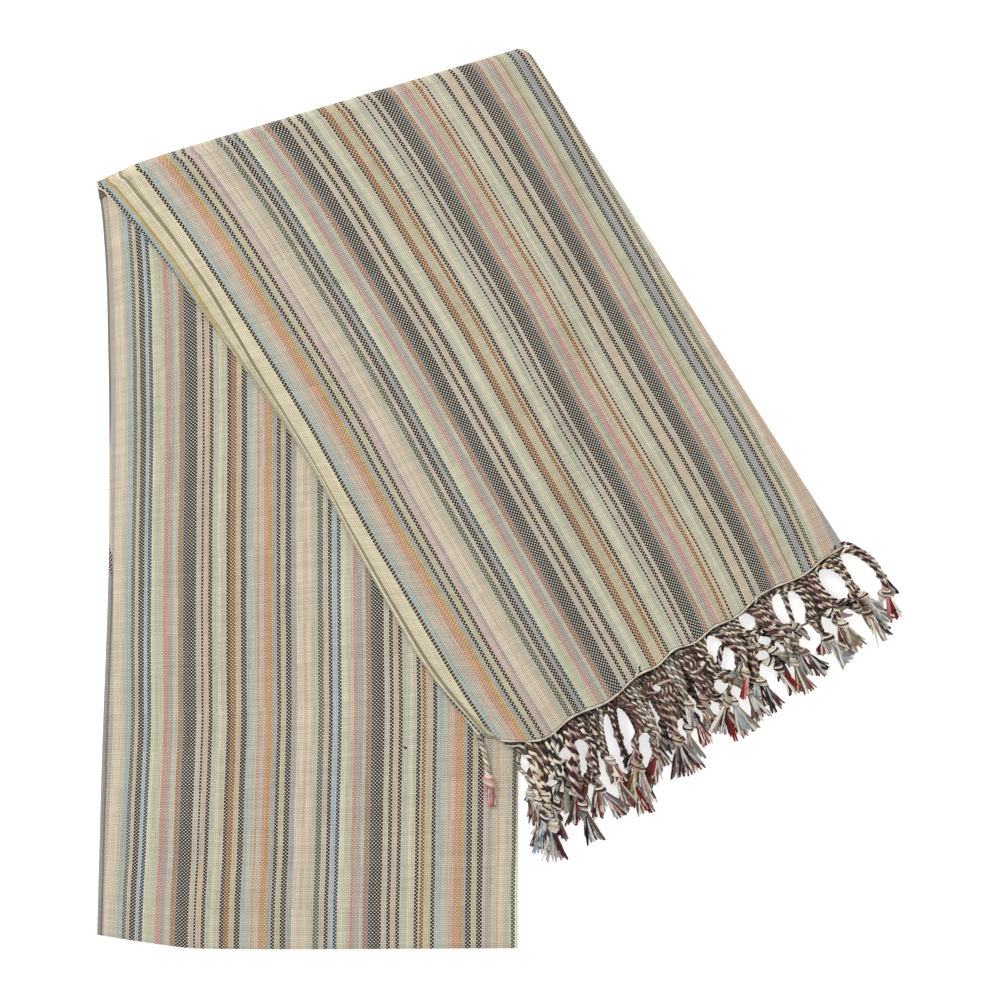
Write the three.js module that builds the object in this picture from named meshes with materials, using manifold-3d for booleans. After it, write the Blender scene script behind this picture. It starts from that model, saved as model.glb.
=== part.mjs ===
// Fouta towel, folded: a striped, fringed cotton cloth folded in four lengthwise and in half crosswise, then
// turned over once along a slanted fold, so that the upper leg of the strip lies on the lower one.
// Millimetres, +Z up, the floor at z = 0, the origin under the middle of the whole towel.
import * as THREE from 'three';
import Module from 'manifold-3d';

const wasm = await Module();
wasm.setup();

// Driving dimensions
const MIDDLE = { x: -0.1, y: -0.75 }; // moves the towel's middle to the origin
const LEG_THICKNESS = 5; // eight layers of 0.6 mm cloth, pressed
const WALL = 1; // a sheet that shows
const GAP = 0.3; // between neighbouring pieces
const RIGHT_EDGE = 10.7; // x of the lower leg's straight right side
const FOLD_SLOPE = 17.2; // of the slanted fold, in degrees from the x axis
const FOLD_SLIP = 8; // how far the right side creeps along the fold as it turns over
const HEM_LEFT = { x: -13.1, y: -139.3 }; // lowest corner of the upper leg
const HEM_RIGHT = { x: 204.9, y: -27.4 };
const RAMP_START = 27; // x where the upper leg starts to sink from the lower leg to the floor
const RAMP_WIDTH = 28;
const RAMP_FADE = 0.15; // share of the upper leg over which that sinking starts
const EDGE_TURN = 3; // width of the rounded border of a sheet
const EDGE_DROP = 1.6; // how far that border turns down

// The lower leg's left side, which bulges inwards at half height
const LEFT_SIDE = [
  { y: -262, x: -240.0 },
  { y: -154, x: -237.0 },
  { y: -24, x: -232.8 },
  { y: 119, x: -234.0 },
  { y: 190, x: -239.4 },
];

// The slanted fold's outer edge, which rounds off at its left end
const FOLD_EDGE = [
  { x: -241, y: 190.0 },
  { x: -208, y: 203.3 },
  { x: -119, y: 230.0 },
  { x: 10, y: 268.4 },
];

// The crosswise fold at the foot of the lower leg
const FOOT = [
  { x: -240, y: -258.5 },
  { x: -208, y: -263.5 },
  { x: -178, y: -266.8 },
  { x: 10.7, y: -266.6 },
];

// How far the hem of the upper leg stands out from the straight line between its corners
const HEM = [
  { share: 0.0, out: 0.0 },
  { share: 0.08, out: 15.0 },
  { share: 0.14, out: 19.8 },
  { share: 0.23, out: 18.0 },
  { share: 0.39, out: 14.2 },
  { share: 0.6, out: 8.4 },
  { share: 0.83, out: 3.8 },
  { share: 1.0, out: 0.0 },
];

// How far the upper leg's left side bows inwards, from the fold to the hem
const SIDE_BOW = [
  { along: 0.0, inward: 2.0 },
  { along: 0.12, inward: 8.4 },
  { along: 0.25, inward: 10.2 },
  { along: 0.4, inward: 11.5 },
  { along: 0.52, inward: 10.2 },
  { along: 0.64, inward: 5.0 },
  { along: 0.76, inward: 0.2 },
  { along: 0.88, inward: -3.0 },
  { along: 1.0, inward: 0.0 },
];

// How far the left sides of the top sheet and of the hidden layers lie behind the lowest layer's
const LEFT_INSETS = [
  { along: 0.0, sheet: 14.8, stack: 10 },
  { along: 0.2, sheet: 10.5, stack: 7 },
  { along: 0.4, sheet: 4.5, stack: 3 },
  { along: 0.6, sheet: 3.0, stack: 2 },
  { along: 0.9, sheet: 3.6, stack: 2.4 },
  { along: 1.0, sheet: 9.0, stack: 7 },
];

// Edge of the hidden layers: two rounded ridges, one for each half of the stack
const STACK_EDGE = [
  { depth: 0.0, inset: 3.3 },
  { depth: 0.18, inset: 1.6 },
  { depth: 0.38, inset: 0.8 },
  { depth: 0.5, inset: 1.8 },
  { depth: 0.62, inset: 0.8 },
  { depth: 0.82, inset: 1.6 },
  { depth: 1.0, inset: 3.3 },
];

// Edge of a single sheet: one rounded wall
const SHEET_EDGE = [
  { depth: 0.0, inset: 0.35 },
  { depth: 0.5, inset: 0.0 },
  { depth: 1.0, inset: 0.35 },
];

// Broad soft swells of the two sheets that show, at (x, y), long across `turn` degrees from the x axis
const SWELLS = [
  { x: -60, y: 130, turn: -57, long: 90, wide: 16, rise: 0.7 },
  { x: 70, y: 60, turn: -60, long: 120, wide: 20, rise: 0.8 },
  { x: 30, y: -60, turn: -50, long: 60, wide: 18, rise: 0.9 },
  { x: 128, y: 10, turn: -70, long: 50, wide: 16, rise: 0.6 },
  { x: -150, y: -60, turn: 84, long: 110, wide: 24, rise: 0.5 },
  { x: -60, y: -200, turn: 70, long: 70, wide: 22, rise: 0.6 },
];

// Fringe
const TASSELS_PER_ROW = 24;
const SIDES = 3; // of a tassel's section
const ROOT_STRIP = { deep: 2, thick: 0.7 };
const FRINGE_FAN = { left: -87, right: -44 }; // degrees in plan, from the left end of the hem to its right end
const FRINGE_START = 21; // along the hem, from the lowest layer's corner
const FRINGE_END = 240;
const FRINGE_ROWS = [
  { name: 'fringe_row_1', root: 4.4, lie: 7.0, phase: 0.2, left: 69, right: 57, sway: 3, waves: 2.0, turn: 0.4 },
  { name: 'fringe_row_2', root: 3.15, lie: 6.7, phase: 0.7, left: 65, right: 54, sway: 3, waves: 2.0, turn: 0.4 },
  { name: 'fringe_row_3', root: 1.9, lie: 2.3, phase: 0.45, left: 46, right: 39, sway: 3, waves: 1.6, turn: 3.3 },
  { name: 'fringe_row_4', root: 0.65, lie: 2.3, phase: 0.95, left: 43, right: 37, sway: 3, waves: 1.6, turn: 3.3 },
];

// A tassel along its length: cord, knot, neck and frayed tuft. `share` runs from the root to the tip.
const TASSEL = [
  { share: 0.05, radius: 0.5 },
  { share: 0.18, radius: 1.6 },
  { share: 0.62, radius: 1.8 },
  { share: 0.7, radius: 2.4 },
  { share: 0.78, radius: 1.6 },
  { share: 0.9, radius: 2.3 },
  { share: 1.0, radius: 1.0 },
];
const ROOT_RADIUS = 0.2;
const UNEVEN = { share: 0.07, step: 2.3 }; // how much the lengths differ, and how fast from tassel to tassel
const TIP_HEIGHT = 1.5; // middle of a tassel's tip above the floor
const LONE_TASSEL = { x: -12.5, y: -140.5, length: 40, aim: -83, root: 6.4, head: 0.8, lie: 6.8, tip: 6.5 };

// Materials
const CLOTH_COLOUR = 0xc6bba8;
const EDGE_COLOUR = 0xd2c9ac;
const FRINGE_COLOUR = 0x7d6a60;
const cloth = new THREE.MeshStandardMaterial({ color: CLOTH_COLOUR, roughness: 0.9, metalness: 0 });
const edges = new THREE.MeshStandardMaterial({ color: EDGE_COLOUR, roughness: 0.9, metalness: 0 });
const yarn = new THREE.MeshStandardMaterial({ color: FRINGE_COLOUR, roughness: 0.95, metalness: 0 });

// Small helpers
const { lerp, clamp, degToRad, smoothstep } = THREE.MathUtils;

// A value read from a table, smooth between its rows
function readTable(rows, key, column, at) {
  const last = rows.length - 1;
  let i = 0;
  while (i < last - 1 && at > rows[i + 1][key]) i += 1;
  const slope = (k) => {
    const a = rows[Math.max(k - 1, 0)];
    const b = rows[Math.min(k + 1, last)];
    return (b[column] - a[column]) / (b[key] - a[key]);
  };
  const span = rows[i + 1][key] - rows[i][key];
  const t = clamp((at - rows[i][key]) / span, 0, 1);
  const start = (1 + 2 * t) * (1 - t) ** 2 * rows[i][column] + t * (1 - t) ** 2 * span * slope(i);
  const end = t * t * (3 - 2 * t) * rows[i + 1][column] + t * t * (t - 1) * span * slope(i + 1);
  return start + end;
}

// Directions in plan
const foldAlong = new THREE.Vector2(Math.cos(degToRad(FOLD_SLOPE)), Math.sin(degToRad(FOLD_SLOPE)));
const foldOut = new THREE.Vector2(-foldAlong.y, foldAlong.x);
const hemChord = new THREE.Vector2(HEM_RIGHT.x - HEM_LEFT.x, HEM_RIGHT.y - HEM_LEFT.y);
const hemOut = new THREE.Vector2(hemChord.y, -hemChord.x).normalize();

// Heights
const FOLD_RADIUS = LEG_THICKNESS + GAP; // from the fold's axis to its outer face
const UPPER_LEG_LIFT = LEG_THICKNESS + 2 * GAP;

// The lower leg in plan. `share` runs from its left side to its right, `along` from its foot to the fold's axis.
function lowerLegPlan(share, along) {
  const roughX = lerp(LEFT_SIDE[0].x, RIGHT_EDGE, share);
  const footY = readTable(FOOT, 'x', 'y', roughX);
  const axisY = readTable(FOLD_EDGE, 'x', 'y', roughX) - FOLD_RADIUS / Math.cos(degToRad(FOLD_SLOPE));
  const y = lerp(footY, axisY, along);
  const x = lerp(readTable(LEFT_SIDE, 'y', 'x', y), RIGHT_EDGE, share);
  return new THREE.Vector2(x, y);
}

// The fold's axis in plan, after the cloth has turned by `turn`, from 0 to 1
function foldAxis(share, turn) {
  return lowerLegPlan(share, 1).addScaledVector(foldAlong, FOLD_SLIP * share * turn);
}

// The hem in plan
function hemPlan(share) {
  const out = readTable(HEM, 'share', 'out', share);
  return new THREE.Vector2(HEM_LEFT.x, HEM_LEFT.y).addScaledVector(hemChord, share).addScaledVector(hemOut, out);
}

// The upper leg in plan, `along` from the fold's axis to the hem
function upperLegPlan(share, along) {
  const bow = readTable(SIDE_BOW, 'along', 'inward', along) * (1 - share);
  return foldAxis(share, 1).lerp(hemPlan(share), along).addScaledVector(foldAlong, bow);
}

// Height of the upper leg's underside: on the lower leg, then down a soft ramp to the floor
function upperLegLift(plan, along) {
  const sunk = smoothstep(plan.x, RAMP_START, RAMP_START + RAMP_WIDTH);
  return UPPER_LEG_LIFT * (1 - sunk * smoothstep(along, 0, RAMP_FADE));
}

// Height of the soft swells at a point in plan
function swell(plan) {
  let height = 0;
  for (const s of SWELLS) {
    const turned = new THREE.Vector2(plan.x - s.x, plan.y - s.y).rotateAround(new THREE.Vector2(), -degToRad(s.turn));
    height += s.rise * Math.exp(-((turned.x / s.long) ** 2) - (turned.y / s.wide) ** 2);
  }
  return height;
}

// A point of the folded towel. `along` is 0 to 1 on the lower leg, 1 to 2 round the fold and 2 to 3 on the upper
// leg. `depth` is measured from the towel's outer face: the floor side of the lower leg, the top of the upper.
function towelPoint(share, along, depth) {
  if (along <= 1) {
    const plan = lowerLegPlan(share, along);
    return new THREE.Vector3(plan.x, plan.y, depth);
  }
  if (along < 2) {
    const angle = (along - 1) * Math.PI;
    const radius = FOLD_RADIUS - depth;
    const plan = foldAxis(share, along - 1).addScaledVector(foldOut, radius * Math.sin(angle));
    return new THREE.Vector3(plan.x, plan.y, FOLD_RADIUS - radius * Math.cos(angle));
  }
  const plan = upperLegPlan(share, along - 2);
  return new THREE.Vector3(plan.x, plan.y, upperLegLift(plan, along - 2) + LEG_THICKNESS - depth);
}

const STRIP_WIDTH = RIGHT_EDGE - LEFT_SIDE[2].x;

// Closed mesh from its corners and faces, turned so that its faces point out
function closedGeometry(points, faces) {
  let volume = 0;
  for (const [a, b, c] of faces) volume += points[a].dot(points[b].clone().cross(points[c]));
  const index = faces.flatMap(([a, b, c]) => (volume > 0 ? [a, b, c] : [a, c, b]));
  const geometry = new THREE.BufferGeometry().setFromPoints(points);
  geometry.setIndex(index);
  return geometry;
}

// Closed slab: a grid of points on each face, joined by a rim that follows the rows of `edge`.
// `at(column, row, level)` gives the point for one station across, one along and one row of the edge table.
function slab(columns, rows, edge, at) {
  const points = [];
  const faces = [];
  const add = (column, row, level) => points.push(at(column, row, level)) - 1;
  const face = (level) => rows.map((row) => columns.map((column) => add(column, row, level)));
  const first = face(edge[0]);
  const last = face(edge[edge.length - 1]);
  for (let j = 0; j < rows.length - 1; j += 1) {
    for (let i = 0; i < columns.length - 1; i += 1) {
      faces.push([first[j][i], first[j + 1][i], first[j + 1][i + 1]], [first[j][i], first[j + 1][i + 1], first[j][i + 1]]);
      faces.push([last[j][i], last[j + 1][i + 1], last[j + 1][i]], [last[j][i], last[j][i + 1], last[j + 1][i + 1]]);
    }
  }
  const right = columns.length - 1;
  const end = rows.length - 1;
  const rim = [
    ...columns.map((_, i) => [i, 0]),
    ...rows.slice(1).map((_, j) => [right, j + 1]),
    ...columns.slice(0, -1).map((_, i) => [right - 1 - i, end]),
    ...rows.slice(1, -1).map((_, j) => [0, end - 1 - j]),
  ];
  const loops = edge.map((level, k) => {
    if (k === 0) return rim.map(([i, j]) => first[j][i]);
    if (k === edge.length - 1) return rim.map(([i, j]) => last[j][i]);
    return rim.map(([i, j]) => add(columns[i], rows[j], level));
  });
  for (let k = 0; k < loops.length - 1; k += 1) {
    for (let m = 0; m < rim.length; m += 1) {
      const n = (m + 1) % rim.length;
      faces.push([loops[k][m], loops[k][n], loops[k + 1][n]], [loops[k][m], loops[k + 1][n], loops[k + 1][m]]);
    }
  }
  return closedGeometry(points, faces);
}

// Stations across, shared by all layers so that their faces lie parallel: some are measured from a piece's own
// left or right side, the rest from the strip's left side
const fromLeft = (...list) => list.map((mm) => ({ side: 'left', mm }));
const fromRight = (...list) => list.map((mm) => ({ side: 'right', mm }));
const evenly = (from, to, steps) => Array.from({ length: steps + 1 }, (_, i) => lerp(from, to, i / steps));
const MIDDLE_STEPS = evenly(30, 218, 9);
const MIDDLE_COLUMNS = MIDDLE_STEPS.map((mm) => ({ side: 'strip', mm }));
const STACK_COLUMNS = [...fromLeft(0, 7), ...MIDDLE_COLUMNS, ...fromRight(7, 3, 0)];
const SHEET_COLUMNS = [...fromLeft(0, 1, 3, 7), ...MIDDLE_COLUMNS, ...fromRight(7, 3, 1, 0)];

// Stations along, shared in the same way. The first are measured from the foot, in millimetres.
const FOOT_ROWS = [0, 1, 3, 9].map((mm) => mm / lowerLegLength());
const LOWER_ROWS = evenly(0.14, 0.86, 4);
const FOLD_ROWS = evenly(1, 2, 6);
const UPPER_ROWS = evenly(2.07, 2.95, 10);

function lowerLegLength() {
  return lowerLegPlan(0.5, 0).distanceTo(lowerLegPlan(0.5, 1));
}

// Turns an inset at one end of a stretch from millimetres into a step of `along`
function endStep(along, inset) {
  const plan = along < 1 ? lowerLegPlan : upperLegPlan;
  return inset / plan(0.5, 0).distanceTo(plan(0.5, 1));
}

// How far the border of a sheet is turned down, `border` millimetres from its side
const borderTurn = (border) => EDGE_DROP * (1 - clamp(border / EDGE_TURN, 0, 1)) ** 2;

// One stretch of the cloth as a slab. Its two faces lie at the depths `shallow` and `deep`, which may change
// along it and near its sides, and `leftInset` and `rightInset` move its sides in from the strip's.
function clothStretch({ columns, rows, edge, leftInset, rightInset, shallow, deep, raised }) {
  const begin = rows[0];
  const end = rows[rows.length - 1];
  const at = (column, row, level) => {
    const left = leftInset(row, level.depth);
    const right = STRIP_WIDTH - rightInset(row);
    const places = { left: left + column.mm, right: right - column.mm, strip: column.mm };
    const across = clamp(places[column.side], left + level.inset, right - level.inset);
    const along = clamp(row, begin + endStep(begin, level.inset), end - endStep(end, level.inset));
    const border = { left: places[column.side] - left, right: right - places[column.side] };
    const depth = lerp(shallow(row, border), deep(row, border), level.depth);
    const point = towelPoint(across / STRIP_WIDTH, along, depth);
    point.z += raised ? raised(point, row) : 0;
    return point;
  };
  return slab(columns, rows, edge, at);
}

// Where the top sheet of the lower leg ends and the lowest layer of the upper leg begins, in the fold's nook
const UNDER_SHEET_END = 0.985;
const LOWEST_LAYER_START = 0.986;

// Hidden layers of both legs. Near the fold they rise off the floor, to make room for the sheet that wraps it.
// On the upper leg's left they lie in steps behind the lowest layer.
const RISE = { from: 0.925, to: 0.97 };
const SHEET_ROOM = WALL + GAP;
const STACK_STEP = 0.5; // the lowest hidden layer's share of the uppermost one's inset
const HEM_THINNING = 0.45; // the hidden layers lie flatter towards the hem
const hemThinning = (row) => HEM_THINNING * smoothstep(row, 2.85, 2.98);
const FOLD_THINNING = 0.2; // and a little in the fold
const foldThinning = (row) => FOLD_THINNING * smoothstep(row, RISE.to, 1.1) * (1 - smoothstep(row, 2.07, 2.2));
const leftInset = (row, piece) => readTable(LEFT_INSETS, 'along', piece, clamp(row - 2, 0, 1));
const stackInset = (row, depth) => smoothstep(row, RISE.to, 1.3) * leftInset(row, 'stack') * lerp(1, STACK_STEP, depth);
const innerLayers = clothStretch({
  columns: STACK_COLUMNS,
  rows: [0, FOOT_ROWS[3], ...LOWER_ROWS, RISE.from, RISE.to, ...FOLD_ROWS, ...UPPER_ROWS, 3],
  edge: STACK_EDGE,
  leftInset: stackInset,
  rightInset: () => 0,
  shallow: (row) => SHEET_ROOM * smoothstep(row, RISE.from, RISE.to) + hemThinning(row),
  deep: (row) => LEG_THICKNESS - SHEET_ROOM - hemThinning(row) - foldThinning(row),
});

// The lower leg may swell only where the upper leg doesn't lie on it: from 6 mm beside that, fully from 30 mm
const OPEN = { from: 6, to: 30 };
function openShare(point, row) {
  const side = hemPlan(0).sub(foldAxis(0, 1));
  const toward = new THREE.Vector2(point.x, point.y).sub(upperLegPlan(0, 0.5));
  const clear = (side.y * toward.x - side.x * toward.y) / side.length();
  return smoothstep(clear, OPEN.from, OPEN.to) * smoothstep(row, 0.02, 0.1);
}

// Top sheet of the lower leg, with its borders turned down over the hidden layers
const footBorder = (row, { left, right }) => borderTurn(Math.min(left, right, row * lowerLegLength()));
const underLegSheet = clothStretch({
  columns: SHEET_COLUMNS,
  rows: [...FOOT_ROWS, ...LOWER_ROWS, RISE.from, RISE.to, UNDER_SHEET_END],
  edge: SHEET_EDGE,
  leftInset: () => 0,
  rightInset: () => 0,
  shallow: (row, border) => LEG_THICKNESS - WALL - footBorder(row, border),
  deep: (row, border) => LEG_THICKNESS - footBorder(row, border),
  raised: (point, row) => swell(point) * openShare(point, row),
});

// Sheet that starts under the fold, wraps it and is the top of the upper leg. Its right side turns down.
const rightBorder = (row, { right }) => borderTurn(right) * smoothstep(row, 1, 2);
const overLegSheet = clothStretch({
  columns: SHEET_COLUMNS,
  rows: [0.98, ...FOLD_ROWS, ...UPPER_ROWS, 3],
  edge: SHEET_EDGE,
  leftInset: (row) => leftInset(row, 'sheet'),
  rightInset: () => 0,
  shallow: (row, border) => rightBorder(row, border),
  deep: (row, border) => WALL + rightBorder(row, border),
  raised: (point, row) => swell(point) * smoothstep(row, 2.02, 2.2),
});

// Lowest layer of the upper leg, which comes round the inside of the fold
const lowestLayer = clothStretch({
  columns: STACK_COLUMNS,
  rows: [LOWEST_LAYER_START, ...FOLD_ROWS, ...UPPER_ROWS, 3],
  edge: SHEET_EDGE,
  leftInset: () => 0,
  rightInset: () => 1,
  shallow: () => LEG_THICKNESS - WALL,
  deep: () => LEG_THICKNESS,
});

// A tapered rod through a list of points, each with its radius, with one flat side down
function rod(stations) {
  const points = [];
  const faces = [];
  stations.forEach((station, k) => {
    const before = stations[Math.max(k - 1, 0)].point;
    const after = stations[Math.min(k + 1, stations.length - 1)].point;
    const ahead = after.clone().sub(before).normalize();
    const side = new THREE.Vector3(0, 0, 1).cross(ahead).normalize();
    const up = ahead.clone().cross(side);
    for (let m = 0; m < SIDES; m += 1) {
      const angle = Math.PI * (0.5 + (2 * m) / SIDES);
      const corner = side.clone().multiplyScalar(Math.cos(angle)).addScaledVector(up, Math.sin(angle));
      points.push(station.point.clone().addScaledVector(corner, station.radius));
    }
  });
  for (let k = 0; k < stations.length - 1; k += 1) {
    for (let m = 0; m < SIDES; m += 1) {
      const a = SIDES * k + m;
      const b = SIDES * k + ((m + 1) % SIDES);
      faces.push([a, b, b + SIDES], [a, b + SIDES, a + SIDES]);
    }
  }
  const top = points.length - SIDES;
  for (let m = 1; m < SIDES - 1; m += 1) faces.push([0, m + 1, m], [top, top + m, top + m + 1]);
  return closedGeometry(points, faces);
}

// Joins of closed pieces
function solidOf(geometry) {
  const mesh = new wasm.Mesh({
    numProp: 3,
    vertProperties: new Float32Array(geometry.attributes.position.array),
    triVerts: new Uint32Array(geometry.index.array),
  });
  return new wasm.Manifold(mesh);
}

function joined(geometries) {
  const mesh = geometries.map(solidOf).reduce((whole, piece) => whole.add(piece)).getMesh();
  const geometry = new THREE.BufferGeometry();
  geometry.setAttribute('position', new THREE.BufferAttribute(new Float32Array(mesh.vertProperties), 3));
  geometry.setIndex(new THREE.BufferAttribute(new Uint32Array(mesh.triVerts), 1));
  return geometry;
}

// A tassel from its root: out along `aim` degrees in plan, at the height `lie`, and down to its tip. `head` is
// its radius at the root. It has settled at `lie` after a fifth of its length, and sinks in the last quarter.
const SETTLE = { from: 0.05, to: 0.2 };
const SINK = { from: 0.76, to: 1 };
function tassel(root, head, aim, length, lie, tip) {
  const way = new THREE.Vector3(Math.cos(degToRad(aim)), Math.sin(degToRad(aim)), 0);
  const at = (share) => {
    const point = root.clone().addScaledVector(way, share * length);
    const settled = lerp(root.z, lie, smoothstep(share, SETTLE.from, SETTLE.to));
    point.z = lerp(settled, tip, smoothstep(share, SINK.from, SINK.to));
    return point;
  };
  const cord = TASSEL.map((row) => ({ point: at(row.share), radius: row.radius }));
  return rod([{ point: at(0), radius: head }, ...cord]);
}

// Point on the hem of the fringe, `out` millimetres off the cloth's edge
function hemPoint(share, out, height) {
  const plan = hemPlan(share);
  const ahead = hemPlan(share + 0.01).sub(hemPlan(share - 0.01)).normalize();
  plan.addScaledVector(new THREE.Vector2(ahead.y, -ahead.x), out);
  return new THREE.Vector3(plan.x, plan.y, upperLegLift(hemPlan(share), 1) + height);
}

// Narrow strip that carries one row of tassels, parted from the cloth's edge by the gap
const ROOT_STATIONS = [FRINGE_START, ...MIDDLE_STEPS, FRINGE_END];
function rootStrip(height) {
  const half = ROOT_STRIP.thick / 2;
  const at = (out, along, level) => hemPoint(along / STRIP_WIDTH, out, height + level * half);
  return slab([GAP, GAP + ROOT_STRIP.deep], ROOT_STATIONS, [-1, 1], at);
}

// Point in the middle of that strip, which is straight from station to station
function rootPoint(along, height) {
  const next = ROOT_STATIONS.findIndex((station) => station >= along);
  const [from, to] = [ROOT_STATIONS[next - 1], ROOT_STATIONS[next]];
  const out = GAP + ROOT_STRIP.deep / 2;
  const end = hemPoint(to / STRIP_WIDTH, out, height);
  return hemPoint(from / STRIP_WIDTH, out, height).lerp(end, (along - from) / (to - from));
}

// One row of the fringe. Its tassels fan out from left to right, and sway together in slow waves.
function fringeRow(row) {
  const pieces = [rootStrip(row.root)];
  for (let i = 0; i < TASSELS_PER_ROW; i += 1) {
    const place = (i + row.phase) / TASSELS_PER_ROW;
    const root = rootPoint(lerp(FRINGE_START, FRINGE_END, place), row.root);
    const sway = row.sway * Math.sin(2 * Math.PI * row.waves * place + row.turn);
    const aim = lerp(FRINGE_FAN.left, FRINGE_FAN.right, place) + sway;
    const uneven = 1 + UNEVEN.share * Math.sin(UNEVEN.step * i + row.turn);
    const length = lerp(row.left, row.right, place) * uneven;
    pieces.push(tassel(root, ROOT_RADIUS, aim, length, row.lie, TIP_HEIGHT));
  }
  return joined(pieces);
}

// Single tassel that hangs from the lowest layer's corner and lies on the lower leg
function loneTassel() {
  const { x, y, root, head, aim, length, lie, tip } = LONE_TASSEL;
  return tassel(new THREE.Vector3(x, y, root), head, aim, length, lie, tip);
}

// The towel, moved so that the origin is under its middle
const towel = new THREE.Group();
towel.position.set(MIDDLE.x, MIDDLE.y, 0);
function addPiece(name, geometry, material) {
  const mesh = new THREE.Mesh(geometry, material);
  mesh.name = name;
  towel.add(mesh);
}

addPiece('inner_layers', innerLayers, edges);
addPiece('under_leg_sheet', underLegSheet, cloth);
addPiece('over_leg_sheet', overLegSheet, cloth);
addPiece('over_leg_lowest_layer', lowestLayer, cloth);
for (const row of FRINGE_ROWS) addPiece(row.name, fringeRow(row), yarn);
addPiece('lone_tassel', loneTassel(), yarn);

export default towel;
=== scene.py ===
import math
import random

import bpy
import numpy as np
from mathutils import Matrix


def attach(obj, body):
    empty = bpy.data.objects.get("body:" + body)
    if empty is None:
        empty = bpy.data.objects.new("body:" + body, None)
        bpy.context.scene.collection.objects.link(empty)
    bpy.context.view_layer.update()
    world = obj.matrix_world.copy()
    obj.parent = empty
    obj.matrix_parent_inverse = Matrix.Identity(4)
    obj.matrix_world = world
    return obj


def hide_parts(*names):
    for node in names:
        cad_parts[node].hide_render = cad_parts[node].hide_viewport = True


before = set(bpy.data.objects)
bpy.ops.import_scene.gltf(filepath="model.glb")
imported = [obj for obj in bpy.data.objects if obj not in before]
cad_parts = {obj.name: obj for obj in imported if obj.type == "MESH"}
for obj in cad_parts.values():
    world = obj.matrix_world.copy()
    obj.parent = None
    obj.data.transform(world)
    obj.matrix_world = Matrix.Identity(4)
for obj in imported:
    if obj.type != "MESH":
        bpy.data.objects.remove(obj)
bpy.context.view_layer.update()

# A striped cotton fouta: folded in four lengthwise and in half crosswise, then turned over along a slanted
# fold. The form is laid out in millimetres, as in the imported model, and becomes metres when a mesh is made.
MM = 0.001
MIDDLE = (-0.1, -0.75)
LEG_THICKNESS = 5.0
GAP = 0.3
RIGHT_EDGE = 10.7
FOLD_SLOPE = math.radians(17.2)
FOLD_SLIP = 8.0
HEM_LEFT = np.array((-13.1, -139.3))
HEM_RIGHT = np.array((204.9, -27.4))
RAMP = {"start": 27.0, "width": 28.0, "fade": 0.15}

# Plan of the two legs, as (position, value) rows
LEFT_SIDE = [(-262, -240.0), (-154, -237.0), (-24, -232.8), (119, -234.0), (190, -239.4)]
FOLD_EDGE = [(-241, 190.0), (-208, 203.3), (-119, 230.0), (10, 268.4)]
FOOT = [(-240, -258.5), (-208, -263.5), (-178, -266.8), (10.7, -266.6)]
HEM_SWAY = [(0, 0), (0.08, 15), (0.14, 19.8), (0.23, 18), (0.39, 14.2), (0.6, 8.4), (0.83, 3.8), (1, 0)]
SIDE_BOW = [
    (0, 2), (0.12, 8.4), (0.25, 10.2), (0.4, 11.5), (0.52, 10.2), (0.64, 5), (0.76, 0.2), (0.88, -3), (1, 0),
]

STRIP_WIDTH = RIGHT_EDGE - LEFT_SIDE[2][1]
FOLD_RADIUS = LEG_THICKNESS + GAP
UPPER_LEG_LIFT = LEG_THICKNESS + 2 * GAP
FOLD_ALONG = np.array((math.cos(FOLD_SLOPE), math.sin(FOLD_SLOPE)))
FOLD_OUT = np.array((-FOLD_ALONG[1], FOLD_ALONG[0]))
HEM_CHORD = HEM_RIGHT - HEM_LEFT
HEM_OUT = np.array((HEM_CHORD[1], -HEM_CHORD[0])) / np.hypot(*HEM_CHORD)


# Small helpers
def read_table(rows, at):
    """A value read from (position, value) rows, smooth between them."""
    keys, values = (np.array(column, float) for column in zip(*rows))
    low = np.maximum(np.arange(len(keys)) - 1, 0)
    high = np.minimum(np.arange(len(keys)) + 1, len(keys) - 1)
    slopes = (values[high] - values[low]) / (keys[high] - keys[low])
    at = np.asarray(at, float)
    i = np.clip(np.searchsorted(keys, at) - 1, 0, len(keys) - 2)
    span = keys[i + 1] - keys[i]
    t = np.clip((at - keys[i]) / span, 0, 1)
    start = (1 + 2 * t) * (1 - t) ** 2 * values[i] + t * (1 - t) ** 2 * span * slopes[i]
    end = t * t * (3 - 2 * t) * values[i + 1] + t * t * (t - 1) * span * slopes[i + 1]
    return start + end


def smoothstep(value, low, high):
    t = np.clip((value - low) / (high - low), 0, 1)
    return t * t * (3 - 2 * t)


def lerp(a, b, t):
    return a + (b - a) * t


def bump(value, middle, half):
    """A smooth bump of height 1 round `middle`."""
    return np.exp(-(((value - middle) / half) ** 2))


def on_upper(along):
    """Share of the way up the upper leg, 0 at its fold and 1 at the hem."""
    return np.clip(along - 2, 0, 1)


def distance(a, b):
    return float(np.hypot(*(a - b)))


# The folded strip. `share` is 0 to 1 across it, `along` 0 to 1 on the lower leg, 1 to 2 round the fold and
# 2 to 3 on the upper leg, and `depth` is measured from the towel's outer face.
def lower_leg_plan(share, along):
    rough = lerp(LEFT_SIDE[0][1], RIGHT_EDGE, share)
    foot = read_table(FOOT, rough)
    axis = read_table(FOLD_EDGE, rough) - FOLD_RADIUS / math.cos(FOLD_SLOPE)
    y = lerp(foot, axis, along)
    return np.stack([lerp(read_table(LEFT_SIDE, y), RIGHT_EDGE, share), y], -1)


def fold_axis(share, turn):
    return lower_leg_plan(share, np.ones_like(share)) + FOLD_ALONG * (FOLD_SLIP * share * turn)[..., None]


def hem_plan(share):
    return HEM_LEFT + HEM_CHORD * share[..., None] + HEM_OUT * read_table(HEM_SWAY, share)[..., None]


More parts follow.
